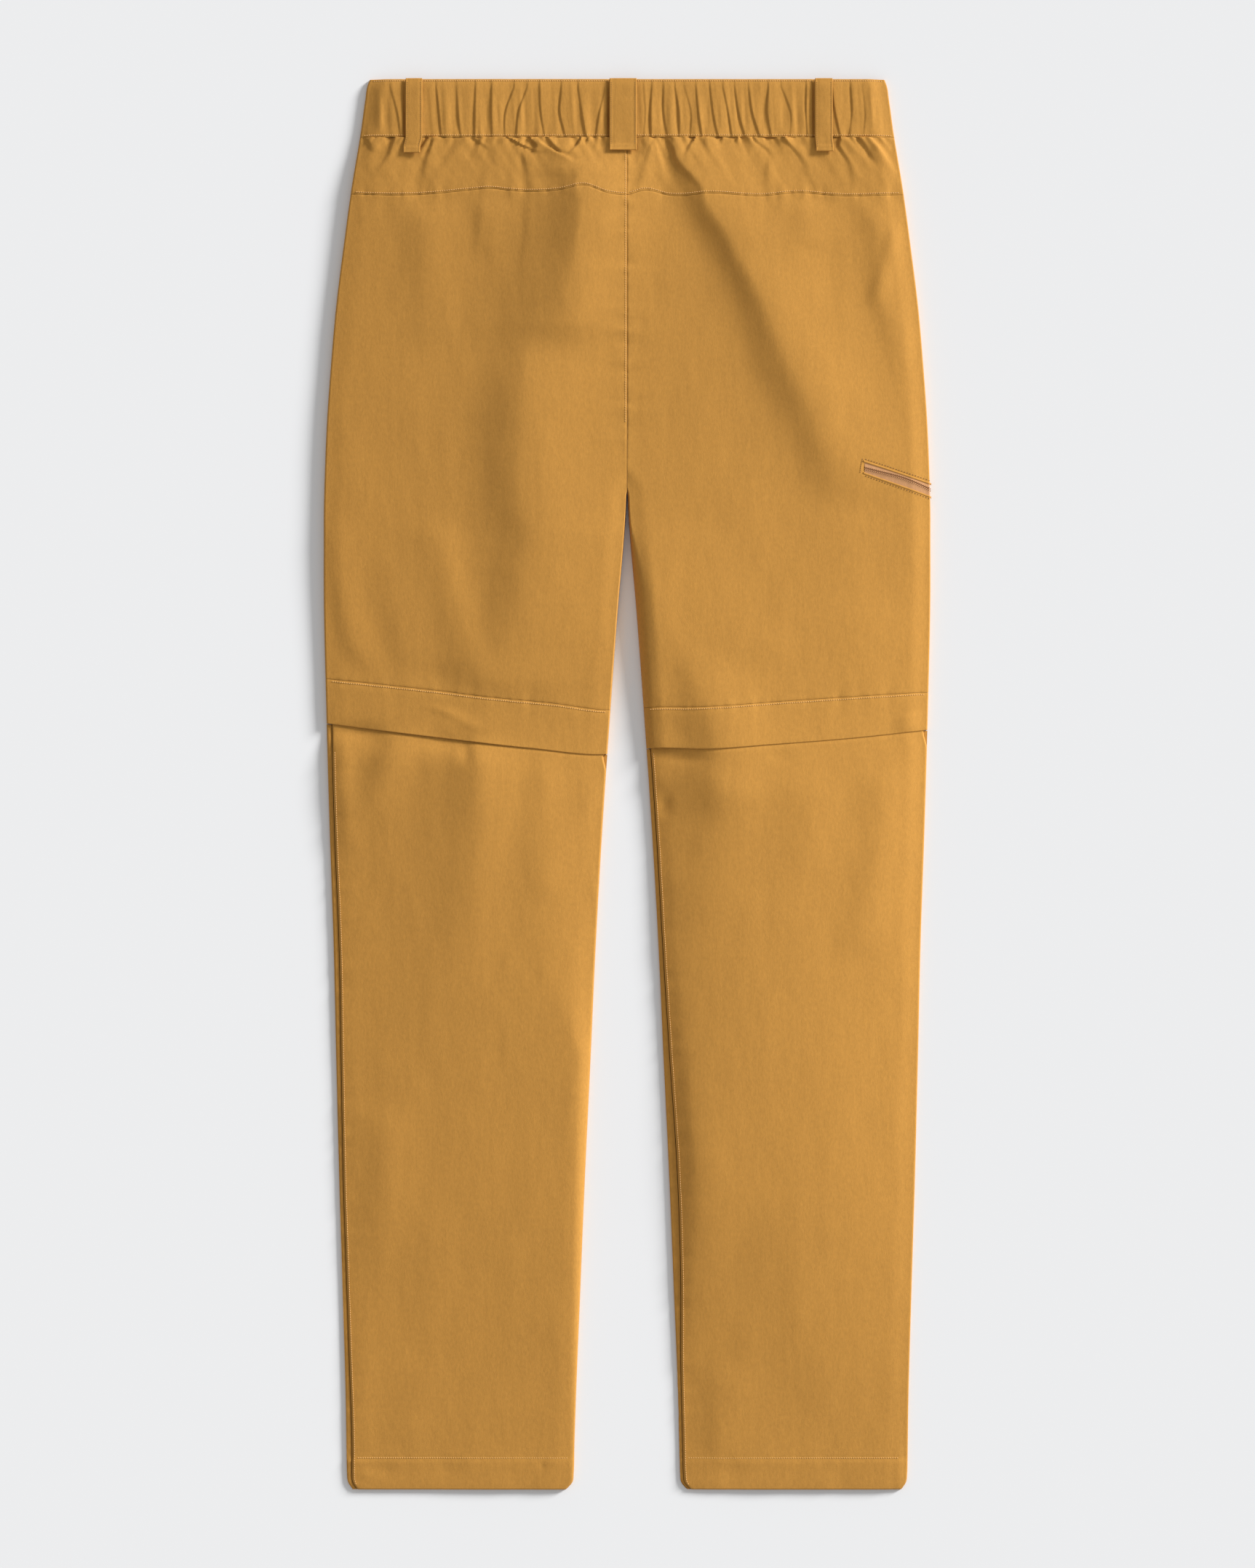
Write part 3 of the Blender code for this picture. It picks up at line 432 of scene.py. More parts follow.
BeltLoop = collections.namedtuple("BeltLoop", "left right foot lean")
BELT_LOOPS = {
    "belt_loop_back_left": BeltLoop(-167.2, -154.6, 1010.1, -1.6),
    "belt_loop_center_back": BeltLoop(-13.2, 7.2, 1011.8, 0),
    "belt_loop_back_right": BeltLoop(141.9, 155.1, 1011.2, 0.6),
}
LOOP_LIFT = 2.1
LOOP_GROOVE = 2.0
LOOP_SEWN = 1.3
BAND_SEWN = 1.5

# The opening of the thigh pocket: its two edges, and the line where the zip's coil closes
ZIP_END = 178.9
ZIP_TOP = table(SeamPoint, (178, 776.9), (195, 771.6), (212, 766), (230, 760.2))
ZIP_FOOT = table(SeamPoint, (178, 768.6), (195, 762.8), (212, 757), (230, 750.7))
ZIP_COIL = table(SeamPoint, (178, 772.2), (190.3, 769.2), (207.9, 764.8), (230, 756))
TAPE_SUNK = 0.2
WINDOW_SUNK = 0.6

# The curved stitching beside the front opening
FLY_FOOT = 860.0
FLY_WIDTH = 38.0


# The form of the cloth

def ease(share):
    """0 to 1 with a soft start and end."""
    share = np.clip(share, 0.0, 1.0)
    return share * share * (3.0 - 2.0 * share)


def along(places, values, at):
    """A smooth curve through the values at these places, read at each place asked for."""
    order = np.argsort(places)
    places = np.asarray(places, float)[order]
    values = np.asarray(values, float)[order]
    slopes = np.gradient(values, places)
    at = np.clip(at, places[0], places[-1])
    first = np.clip(np.searchsorted(places, at) - 1, 0, len(places) - 2)
    span = places[first + 1] - places[first]
    share = (at - places[first]) / span
    rising = share * share * (3.0 - 2.0 * share)
    leaving = share * (1.0 - share) ** 2 * span * slopes[first]
    arriving = share * share * (share - 1.0) * span * slopes[first + 1]
    return values[first] + rising * (values[first + 1] - values[first]) + leaving + arriving


def column(rows, name):
    return [getattr(row, name) for row in rows]


def section(name, height):
    return along(column(SECTIONS, "height"), column(SECTIONS, name), height)


def seam(points, x):
    return along(column(points, "x"), column(points, "height"), x)


def beside_seam(points, offset, x):
    return seam(points, x) + offset


def outer_edge(height):
    return section("outer", height)


def inner_edge(height):
    return np.maximum(section("inner", height), GAP / 2)


def read(pairs, at):
    """Straight lines through pairs of a place and its value."""
    return np.interp(at, *zip(*pairs))


def roll(leg, height):
    return along(column(ROLLS, "height"), column(ROLLS, leg), height)


def shoulder(distance, slow, size=EDGE_ROUND):
    """The share of its height that the cloth has reached: a tight round, then a slow rise."""
    share = np.clip(distance / size, 0.0, 1.0)
    return (1.0 - slow) * np.sqrt(1.0 - (1.0 - share) ** 2) + slow * ease(distance / EDGE_SLOPE)


def reached(folds, x, height):
    """Each fold that reaches these places: where it does, the height there, and the offset from its line."""
    for one in folds:
        near = (height < one.heights[0]) & (height > one.heights[-1])
        if near.any():
            yield one, near, height[near], x[near] - along(one.heights, one.places, height[near])


def relief(folds, x, height):
    total = np.zeros_like(x)
    for one, near, at, offset in reached(folds, x, height):
        top, foot = one.heights[0], one.heights[-1]
        offset = offset + unevenness(FOLD_WAVER, x[near], at)
        fade = min(FOLD_FADE, (top - foot) / 3)
        rise = along(one.heights, one.rises, at) * ease((top - at) / fade) * ease((at - foot) / fade)
        down = (top - at) / (top - foot)
        steep = one.steep * (1.0 + (one.spread - 1.0) * down)
        falls = np.where(offset < 0, (np.abs(offset) / steep) ** one.peak, (offset / one.gentle) ** 2)
        total[near] += rise * np.exp(-falls)
    return total


def fading(distance, reach):
    """1 up to the start, then fading with the distance from it."""
    return np.exp(-np.maximum(distance, 0.0) / reach)


def step_up(offset, left, right, soft):
    """A small tuck: the cloth dips, stands up at once, and falls away slowly to the right."""
    up = 1.0 / (1.0 + np.exp(-np.clip(offset / soft, -30.0, 30.0)))
    return 0.5 * (fading(offset, right) * up - fading(-offset, left) * (1.0 - up))


def tucks(rows, x, height):
    """Puckers, each sharp near the waistband seam and softer further down."""
    total = np.zeros_like(x)
    for one, near, at, offset in reached(rows, x, height):
        rise = np.interp(at, one.heights[::-1], one.rises[::-1])
        soft = np.clip(TUCK_SOFT[0] + TUCK_SOFTENING * (BAND_SEAM - 5.0 - at), *TUCK_SOFT)
        total[near] += TUCK_SCALE * rise * step_up(offset, one.steep + soft, one.gentle + 2.0 * soft, soft)
    return total


def bell(offset, reach):
    """1 at no offset, falling off to both sides within this reach."""
    return np.exp(-((offset / reach) ** 2))


def dents(x, height):
    total = np.zeros_like(x)
    for one in DENTS:
        total += one.rise * bell(x - one.x, one.across) * bell(height - one.height, one.up)
    return total


def gathers(x, height):
    """The waistband's gathers, and a groove where each belt loop presses on them."""
    total = np.zeros_like(x)
    for one in GATHERS:
        line = along((BAND_SEAM, 1040.0, 1060.0), (one.foot, one.middle, one.top), height)
        offset = x - line + unevenness(GATHER_WAVER, x, height)
        vary = 1.0 + unevenness(GATHER_CHANGE, np.full_like(x, 3.0 * one.middle), height)
        total += GATHER_RISE * vary * one.depth * step_up(offset, left=2.6, right=6.5, soft=0.38)
        total -= GATHER_LINE * vary * one.depth * bell(offset, 0.6)
    leaned = x + 0.06 * (height - BAND_SEAM)
    total += unevenness(BAND_WAVES, x, height) + unevenness(BAND_CREASES, leaned, height)
    for loop in BELT_LOOPS.values():
        total -= LOOP_GROOVE * bell(x - loop.left + 0.7, 0.9)
    return total * read(GATHER_SWELL, height) * (height > BAND_SEAM)


def seam_crinkle(x, height):
    """Small creases that run down from the waistband seam and soon fade."""
    below = BAND_SEAM - height
    fan = x * (1.0 - 0.004 * below)
    slanted = unevenness(CRINKLE_LEFT, x + 0.7 * below, height)
    slanted += unevenness(CRINKLE_RIGHT, x - 0.6 * below, height)
    wide = (unevenness(CRINKLE_WIDE, fan, height) + slanted) * fading(below, 18.0)
    return (unevenness(CRINKLE_SMALL, fan, height) * fading(below, 6.0) + wide) * (below > 0)


def band_line(x):
    """The waistband seam, which wavers a little because it gathers the cloth."""
    return BAND_SEAM + unevenness(BAND_LINE, x, BAND_SEAM)


def unevenness(waves, x, height):
    """Soft random waves, whose rise is what they reach from trough to crest."""
    lattice = np.random.default_rng(waves.seed).random((64, 64))
    u = x / waves.across + 31.3
    v = height / waves.up + 7.7
    left = np.floor(u).astype(int)
    foot = np.floor(v).astype(int)
    to_right = ease(u - left)
    to_top = ease(v - foot)

    def between_corners(row):
        return lattice[row % 64, left % 64] * (1.0 - to_right) + lattice[row % 64, (left + 1) % 64] * to_right

    middle = between_corners(foot) * (1.0 - to_top) + between_corners(foot + 1) * to_top
    return waves.rise * (middle - 0.5)


def crown(x, height):
    """The legs rise to a crest, each at its own share of the width, and the seat is one broad rise."""
    inner = inner_edge(height)
    outer = outer_edge(height)
    share = (np.abs(x) - inner) / (outer - inner)
    from_left = np.where(x < 0, 1.0 - share, share)
    peak = np.where(x < 0, read(LEFT_PEAK, height), read(RIGHT_PEAK, height))
    away = (from_left - peak) / np.where(from_left < peak, peak, 1.0 - peak)
    rise = np.where(x < 0, LEFT_CROWN, RIGHT_CROWN)
    rise = rise * (HEM_CROWN + (1.0 - HEM_CROWN) * ease(height / FULL_CROWN_HEIGHT))
    legs = ease((LEGS_TOP - height) / LEGS_BLEND)
    seat = (1.0 - (x / outer) ** 2) * ease((TOTAL_LENGTH - height) / SEAT_BLEND)
    return legs * rise * (1.0 - away**2) + (1.0 - legs) * SEAT_CROWN * seat


def crest_of(x, height, small=True):
    crest = section("crest", height) + crown(x, height) + relief(FOLDS.values(), x, height)
    if small:
        crest += gathers(x, height) + tucks(PUCKERS, x, height) * (height < BAND_SEAM) + dents(x, height)
        crest += seam_crinkle(x, height)
        crest += unevenness(CLOTH_BROAD, x, height) + unevenness(CLOTH_SOFT, x, height)
        crest += unevenness(CLOTH_FINE, x, height)
    return crest


def seam_pull(along_seam, distance, amount, depth=0.25):
    """The cloth dips at a stitched seam, and puckers unevenly beside it."""
    away = np.abs(distance)
    small = unevenness(SEAM_SMALL, along_seam, distance) * fading(away, 2.6)
    wide = unevenness(SEAM_WIDE, along_seam, distance) * fading(away, 8.0)
    return amount * (small + wide) - depth * bell(distance, 0.6)


def rounded(crest, level, left, right, slow_right, height, slow_left=SHADED_SLOW, round_left=LEFT_ROUND):
    """The cloth comes down to this level at its edges, given the distance in from each.

    The slow share of that is largest at the low waistband, and on the side that turns to the light.
    """
    band = ease((height - BAND_BLEND_FOOT) / BLEND)
    slow_left = slow_left + (BAND_SLOW_LEFT - slow_left) * band
    slow_right = slow_right + (BAND_SLOW_RIGHT - slow_right) * band
    drop = 1.0 - shoulder(left, slow_left, round_left) + 1.0 - shoulder(right, slow_right)
    return crest - (crest - level) * np.minimum(drop, 1.0)


def back_face(x, height, small=True):
    """The good side of the back, from the hem to the waistband's top."""
    parted = ease((CROTCH + 8.0 - height) / BLEND)
    outside = outer_edge(height) - np.abs(x)
    inside = np.abs(x) - inner_edge(height)
    crest = crest_of(x, height, small)
    if small:
        yoke = height - seam(YOKE_SEAM, x)
        knee = height - seam(KNEE_SEAM, x)
        crest += seam_pull(x, yoke, amount=0.9) + seam_pull(x + 40.0, knee, amount=0.5)
        crest += seam_pull(height, inside, amount=0.8, depth=0.3) * (1.0 - parted) * (height < BAND_SEAM)
        crest += seam_pull(x * 1.3, height - band_line(x), amount=0.6)
    inside = inside + (1.0 - parted) * 40.0
    left = np.where(x < 0, outside, inside)
    right = np.where(x < 0, inside, outside)
    slow_right = np.where(x < 0, SHADED_SLOW, LIT_SLOW)
    thigh = ease((THIGH_TOP - height) / BLEND) * (x >= 0)
    crest = crest + THIGH_SWELL * thigh * bell(left, THIGH_REACH)
    slow_left = SHADED_SLOW + THIGH_SLOW * thigh
    round_left = LEFT_ROUND + THIGH_ROUND * thigh
    return rounded(crest, SEAM_LEVEL, left, right, slow_right, height, slow_left, round_left)


def pocket_face(x, height):
    return back_face(x, height) - WINDOW_SUNK * thigh_window(x, height)


def turned_edge(distance, radius=0.9):
    """How far a folded edge falls away at this distance in from its end."""
    share = np.clip(distance / radius, 0.0, 1.0)
    return -radius * (1.0 - np.sqrt(1.0 - (1.0 - share) ** 2))


def band_face(x, height):
    below_top = TOTAL_LENGTH - height
    return back_face(x, height) - 0.2 * bell(below_top - BAND_SEWN, 0.6) + turned_edge(below_top)


def flap_face(x, height):
    below = seam(KNEE_SEAM, x) - height
    above = height - seam(FLAP_EDGE, x)
    away = shoulder(outer_edge(height) - np.abs(x), 0.3) * shoulder(np.abs(x) - inner_edge(height), 0.3)
    return back_face(x, height) + (FLAP_PROUD * ease(below / 6.0) + turned_edge(above, 0.5)) * away


def side_span(side, height):
    if side < 0:
        return -outer_edge(height), -inner_edge(height)
    return inner_edge(height), outer_edge(height)


def lower_span(side, x, height):
    left, right = side_span(side, height)
    return left, right - TUCK_INSET * ease((height - seam(FLAP_EDGE, x) + 14.0) / 13.0)


def lower_face(side, x, height):
    left, right = lower_span(side, x, height)
    below = seam(FLAP_EDGE, x) - height
    leg = "left_leg" if side < 0 else "right_leg"
    crest = crest_of(x, height) - TUCK_DEPTH * (1.0 - ease(below / TUCK_LENGTH))
    crest -= read(HOLLOWS, x) * (1.0 - ease(below / HOLLOW_LENGTH))
    crest += HEM_PROUD * ease((HEM_DEPTH - height) / 1.5) - 0.2 * bell(height - HEM_DEPTH, 0.8)
    crest += unevenness(HEM_WAVES, x, height) * ease((HEM_DEPTH + 4.0 - height) / 6.0)
    crest += seam_pull(height + 60.0 * side, x - left - roll(leg, height), amount=0.5)
    level = ROLL_LEVEL + (SEAM_LEVEL - ROLL_LEVEL) * ease((x - left) / (right - left))
    slow_right = SHADED_SLOW if side < 0 else LIT_SLOW
    return rounded(crest, level, x - left, right - x, slow_right, height) + turned_edge(height)


def across(share, left, right, columns, round_left, round_right, reach=2.2):
    """A share of a sheet's divisions, which are closer together near an end that is rounded."""
    first = round_left / columns
    last = round_right / columns
    inset_left = reach if round_left else 0.0
    inset_right = reach if round_right else 0.0
    flat = (share - first) / (1.0 - first - last)
    x = left + inset_left + flat * (right - left - inset_left - inset_right)
    if round_left:
        turn = np.clip(share / first, 0.0, 1.0) * np.pi / 2
        x = np.where(share < first, left + reach * (1.0 - np.cos(turn)), x)
    if round_right:
        turn = np.clip((1.0 - share) / last, 0.0, 1.0) * np.pi / 2
        x = np.where(share > 1.0 - last, right - reach * (1.0 - np.cos(turn)), x)
    return x


def between(share, low, high):
    return low + share * (high - low)


# Making the cloth

def start_fresh():
    bpy.ops.object.select_all(action="DESELECT")


def in_frame(x, height, z):
    """Points on the garment's form, as points of the part's frame in metres."""
    return np.stack((x, height - ORIGIN_HEIGHT, z), -1).reshape(-1, 3) * MM


def thicken(piece, thickness, side):
    """Gives a sheet its wall: against its normals where side is -1, and along them where it is 1."""
    wall = piece.modifiers.new("Thickness", "SOLIDIFY")
    wall.thickness = thickness * MM
    wall.offset = side
    bpy.ops.object.modifier_apply(modifier=wall.name)


def laid_cloth(name, divisions, place, thickness=SHELL, finish=None):
    """A grid laid on the garment's form, and given its thickness. It replaces the solid of its name."""
    finish = finish or ochre_cloth
    start_fresh()
    bpy.ops.mesh.primitive_grid_add(x_subdivisions=divisions[0], y_subdivisions=divisions[1], size=1.0)
    piece = bpy.context.object
    piece.name = f"{name}_cloth"
    grid = np.empty(len(piece.data.vertices) * 3, np.float32)
    piece.data.vertices.foreach_get("co", grid)
    grid = grid.reshape(-1, 3).astype(float)
    points = in_frame(*place(grid[:, 0] + 0.5, grid[:, 1] + 0.5))
    piece.data.vertices.foreach_set("co", points.astype(np.float32).ravel())
    piece.data.update()
    thicken(piece, thickness, -1.0)
    bpy.ops.object.shade_smooth_by_angle(angle=SHARP_ANGLE)
    piece.data.materials.append(finish)
    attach(piece, "root")
    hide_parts(name)


def back_panel(name, side, divisions, low, high, face, fine_rows=(4, 4)):
    """A piece of one side's back between two seams, each given by its height at every x."""
    columns, rows = divisions

    def place(u, v):
        x = np.full_like(u, side * PANEL_MIDDLE)
        for _ in range(3):
            height = across(v, low(x), high(x), rows, *fine_rows, reach=2.0)
            x = across(u, *side_span(side, height), columns, 8, 8)
        return x, height, face(x, height)

    laid_cloth(name, divisions, place)


def front_panel(name, side, divisions, low, high):
    """A piece of one side's front, flat on the table with its good side down."""

    def place(u, v):
        x = np.full_like(u, side * PANEL_MIDDLE)
        for _ in range(3):
            height = between(v, low(x), high(x))
            x = between(1.0 - u, *side_span(side, height))
        return x, height, np.zeros_like(x)

    laid_cloth(name, divisions, place)


def at_height(height, x):
    return np.full_like(x, height)


def below_band(x):
    return band_line(x) - SEAM_CLEAR


def straight_flap_edge(side, x):
    """The edge of the front flap, straight between the ends of the back one."""
    return read(FLAP_EDGE[:5:4] if side < 0 else FLAP_EDGE[5::4], x)


def make_waistband():
    columns, rows = 700, 46

    def place(u, v):
        x = np.zeros_like(u)
        for _ in range(3):
            height = across(v, band_line(x) + SEAM_CLEAR, TOTAL_LENGTH, rows, 3, 6, reach=1.6)
            x = across(u, -outer_edge(height), outer_edge(height), columns, 8, 8)
        return x, height, band_face(x, height)

    laid_cloth("waistband_back", (columns, rows), place, BAND_SHELL)
    low = partial(at_height, BAND_SEAM + SEAM_CLEAR)
    high = partial(at_height, TOTAL_LENGTH)
    for name, side in SIDES:
        front_panel(f"waistband_front_{name}", side, (20, 6), low, high)


def make_seat_and_thighs():
    above_knee = partial(beside_seam, KNEE_SEAM, SEAM_CLEAR)
    below_yoke = partial(beside_seam, YOKE_SEAM, -SEAM_CLEAR)
    above_yoke = partial(beside_seam, YOKE_SEAM, SEAM_CLEAR)
    for name, side in SIDES:
        panel_face = back_face if side < 0 else pocket_face
        back_panel(f"yoke_{name}", side, (200, 42), above_yoke, below_band, back_face)
        back_panel(f"back_panel_{name}", side, (150, 250), above_knee, below_yoke, panel_face)
        front_panel(f"front_panel_{name}", side, (12, 40), above_knee, below_band)


def make_flaps():
    edge = partial(beside_seam, FLAP_EDGE, 0.0)
    top = partial(beside_seam, KNEE_SEAM, -SEAM_CLEAR)
    for name, side in SIDES:
        back_panel(f"zip_flap_back_{name}", side, (150, 26), edge, top, flap_face, (5, 4))
        low = partial(straight_flap_edge, side)
        front_panel(f"zip_flap_front_{name}", side, (12, 2), low, top)


def make_knee_zips():
    """The zip tape lies hidden under the back flap."""
    for name, side in SIDES:

        def place(u, v, side=side):
            left, right = side_span(side, 570.0)
            x = between(u, left + 8.0, right - 8.0)
            height = between(v, seam(FLAP_EDGE, x) + TUCK_UNDER + GAP, seam(KNEE_SEAM, x) + 4.0)
            return x, height, crest_of(x, height, small=False) - ZIP_DEPTH

        laid_cloth(f"knee_zip_back_{name}", (60, 8), place, TAPE_SHELL, tan_tape)


def make_lower_leg(name, side):
    leg = f"{name}_leg"
    rows = 300

    def back(u, v):
        x = np.full_like(u, side * LEG_MIDDLE)
        for _ in range(3):
            height = across(v, 0.0, seam(FLAP_EDGE, x) + TUCK_UNDER, rows, 5, 0, reach=2.0)
            left, right = lower_span(side, x, height)
            x = across(u, left + roll(leg, height) + ROLL_GAP, right, 100, 4, 8, reach=4.0)
        from_roll = x - left - roll(leg, height) - ROLL_GAP
        return x, height, lower_face(side, x, height) + turned_edge(from_roll, 0.7)

    def front(u, v):
        """From the roll on the back face, round the leg's edge, and flat on the table."""
        over_share, foot_share = 0.4, 0.3
        u = 1.0 - u
        over = 1.0 - np.clip(u / over_share, 0.0, 1.0)
        turn = np.clip((u - over_share) / foot_share, 0.0, 1.0) * np.pi / 2
        flat = np.clip((u - over_share - foot_share) / (1.0 - over_share - foot_share), 0.0, 1.0)
        x = np.full_like(u, side * LEG_MIDDLE)
        for _ in range(3):
            height = across(v, 0.0, straight_flap_edge(side, x) - 2 * GAP, rows, 5, 0, reach=2.0)
            left, right = side_span(side, height)
            on_back = left + (roll(leg, height) - ROLL_GAP) * over**2
            underneath = left + FOOT_ROUND * (1.0 - np.cos(turn)) + flat * (right - left - FOOT_ROUND)
            x = np.where(over > 0.0, on_back, underneath)
        on_top = lower_face(side, x, height) - ROLL_SUNK * ease(2.0 * over)
        return x, height, np.where(over > 0.0, on_top, ROLL_LEVEL * (1.0 - np.sin(turn)))

    laid_cloth(f"lower_back_{name}", (100, rows), back)
    laid_cloth(f"lower_front_{name}", (30, rows), front)


def loop_lean(loop, height):
    """A belt loop's foot leans to one side below the waistband seam."""
    return loop.lean * ease((BAND_SEAM - height) / 8.0)


def loop_face(loop, x, height):
    """The upper face of a belt loop, which is flat across and stands clear of the gathers."""
    from_left = x - loop_lean(loop, height) - loop.left
    side = np.clip(np.minimum(from_left, loop.right - loop.left - from_left), 0.0, 30.0)
    foot = 0.5 * ease((loop.foot + 5.0 - height) / 1.5) - 0.3 * bell(height - loop.foot - 2.6, 0.7)
    ends = turned_edge(height - loop.foot, 0.6) + turned_edge(LOOP_TOP - height, 0.6)
    edges = turned_edge(side, 0.6) + ends - 0.3 * bell(side - LOOP_SEWN, 0.6)
    wave = unevenness(LOOP_WAVES, x, height)
    return back_face(x, height, small=False) + LOOP_LIFT + foot + edges + wave


def make_belt_loop(name, loop):
    columns, rows = 16, 60

    def place(u, v):
        height = across(v, loop.foot, LOOP_TOP, rows, 4, 4, reach=1.0)
        x = across(u, loop.left, loop.right, columns, 4, 4, reach=1.0) + loop_lean(loop, height)
        return x, height, loop_face(loop, x, height)

    laid_cloth(name, (columns, rows), place, LOOP_SHELL)


# Finishes

def set_inputs(node, **values):
    """Sets a node's inputs. An underscore stands for each space of an input's name."""
    for name, value in values.items():
        node.inputs[name.replace("_", " ")].default_value = value


def make_weave():
    """Plain weave: threads over and under, with uneven yarn and a soft mottle."""
    group = bpy.data.node_groups.new("Plain weave", "ShaderNodeTree")
    for name, way in (("Thread", "INPUT"), ("Shade", "OUTPUT"), ("Height", "OUTPUT")):
        group.interface.new_socket(name, in_out=way, socket_type="NodeSocketFloat")
    nodes, links = group.nodes, group.links
    inputs = nodes.new("NodeGroupInput")
    outputs = nodes.new("NodeGroupOutput")
    place = nodes.new("ShaderNodeTexCoord")

    def maths(operation, *values):
        node = nodes.new("ShaderNodeMath")
        node.operation = operation
        for socket, value in zip(node.inputs, values):
            if isinstance(value, (int, float)):
                socket.default_value = value
            else:
                links.new(value, socket)
        return node.outputs[0]

    def noise(stretch, scale, detail, roughness=0.5):
        mapping = nodes.new("ShaderNodeMapping")
        set_inputs(mapping, Scale=(1.0, stretch, 1.0))
        links.new(place.outputs["Object"], mapping.inputs["Vector"])
        node = nodes.new("ShaderNodeTexNoise")
        set_inputs(node, Scale=scale, Detail=detail, Roughness=roughness)
        links.new(mapping.outputs["Vector"], node.inputs["Vector"])
        return node.outputs["Fac"]

    parts = nodes.new("ShaderNodeSeparateXYZ")
    links.new(place.outputs["Object"], parts.inputs["Vector"])
    pitch = maths("DIVIDE", 2.0 * np.pi / MM, inputs.outputs["Thread"])
    warp = maths("SINE", maths("MULTIPLY", parts.outputs["X"], pitch))
    weft = maths("SINE", maths("MULTIPLY", parts.outputs["Y"], pitch))
    threads = maths("MULTIPLY", warp, weft)
    mottle = noise(stretch=0.45, scale=650.0, detail=3.0, roughness=0.62)
    slubs = noise(stretch=0.12, scale=260.0, detail=2.0)
    cloud = noise(stretch=0.6, scale=34.0, detail=3.0)
    crinkle = noise(stretch=0.5, scale=210.0, detail=4.0, roughness=0.6)
    mottled = maths("MULTIPLY_ADD", mottle, 0.34, -0.17)
    streaked = maths("MULTIPLY_ADD", slubs, 0.10, -0.05)
    clouded = maths("MULTIPLY_ADD", cloud, 0.10, -0.05)
    shade = maths("ADD", maths("ADD", mottled, streaked), clouded)
    links.new(maths("ADD", shade, maths("MULTIPLY", threads, 0.03)), outputs.inputs["Shade"])
    rough = maths("ADD", maths("MULTIPLY", mottle, 0.9), maths("MULTIPLY", crinkle, 1.2))
    links.new(maths("ADD", maths("MULTIPLY", threads, 0.25), rough), outputs.inputs["Height"])
    return group


def new_material(name, **values):
    """A material with these inputs, and its nodes and links."""
    material = bpy.data.materials.new(name)
    material.use_nodes = True
    nodes = material.node_tree.nodes
    set_inputs(nodes["Principled BSDF"], **values)
    return material, nodes, material.node_tree.links


def make_cloth(name, colour, weave, thread, sheen, roughness):
    material, nodes, links = new_material(name, Roughness=roughness, Specular_IOR_Level=0.2)
    shader = nodes["Principled BSDF"]
    set_inputs(shader, Sheen_Weight=sheen, Sheen_Roughness=0.45)
    woven = nodes.new("ShaderNodeGroup")
    woven.node_tree = weave
    set_inputs(woven, Thread=thread)
    tint = nodes.new("ShaderNodeHueSaturation")
    set_inputs(tint, Color=(*colour, 1.0))
    value = nodes.new("ShaderNodeMath")
    value.operation = "ADD"
    value.inputs[1].default_value = 1.0
    links.new(woven.outputs["Shade"], value.inputs[0])
    links.new(value.outputs[0], tint.inputs["Value"])
    links.new(tint.outputs["Color"], shader.inputs["Base Color"])
    raised = nodes.new("ShaderNodeBump")
    set_inputs(raised, Distance=WEAVE_BUMP * MM, Strength=1.0)
    links.new(woven.outputs["Height"], raised.inputs["Height"])
    links.new(raised.outputs["Normal"], shader.inputs["Normal"])
    return material


def make_plain(name, colour, roughness, **values):
    return new_material(name, Base_Color=(*colour, 1.0), Roughness=roughness, **values)[0]


def make_metal(name):
    """Satin metal, with fine uneven brushing in its roughness."""
    material, nodes, links = new_material(name, Base_Color=(*STEEL, 1.0), Metallic=1.0)
    place = nodes.new("ShaderNodeTexCoord")
    brushing = nodes.new("ShaderNodeTexNoise")
    set_inputs(brushing, Scale=900.0)
    spread = nodes.new("ShaderNodeMapRange")
    set_inputs(spread, To_Min=0.28, To_Max=0.5)
    links.new(place.outputs["Object"], brushing.inputs["Vector"])
    links.new(brushing.outputs["Fac"], spread.inputs["Value"])
    links.new(spread.outputs["Result"], nodes["Principled BSDF"].inputs["Roughness"])
    return material


# Stitches

def make_stitch_shape():
    """One stitch, a short thread that dives at both ends: rings of its points, from end to end."""
    rings = ((-0.5, 0.35, -0.5), (-0.25, 1.0, 0.6), (0.25, 1.0, 0.6), (0.5, 0.35, -0.5))
    turns = np.arange(5) * np.pi / 2.5
    points = [
        (run, size * np.cos(turn), lift + size * np.sin(turn)) for run, size, lift in rings for turn in turns
    ]
    corners = [(ring * 5 + k, ring * 5 + (k + 1) % 5) for ring in range(3) for k in range(5)]
    faces = [(a, a + 5, b + 5, b) for a, b in corners]
    return np.array(points), faces + [tuple(range(5)), tuple(range(19, 14, -1))]


STITCH_POINTS, STITCH_FACES = make_stitch_shape()


def unit(vectors):
    return vectors / np.linalg.norm(vectors, axis=1, keepdims=True)


def new_piece(name, points, faces, finish):
    """A smooth piece made of these points and faces."""
    mesh = bpy.data.meshes.new(name)
    mesh.from_pydata(points.tolist(), [], faces)
    mesh.materials.append(finish)
    mesh.shade_smooth()
    piece = bpy.data.objects.new(name, mesh)
    bpy.context.scene.collection.objects.link(piece)
    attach(piece, "root")
    return piece


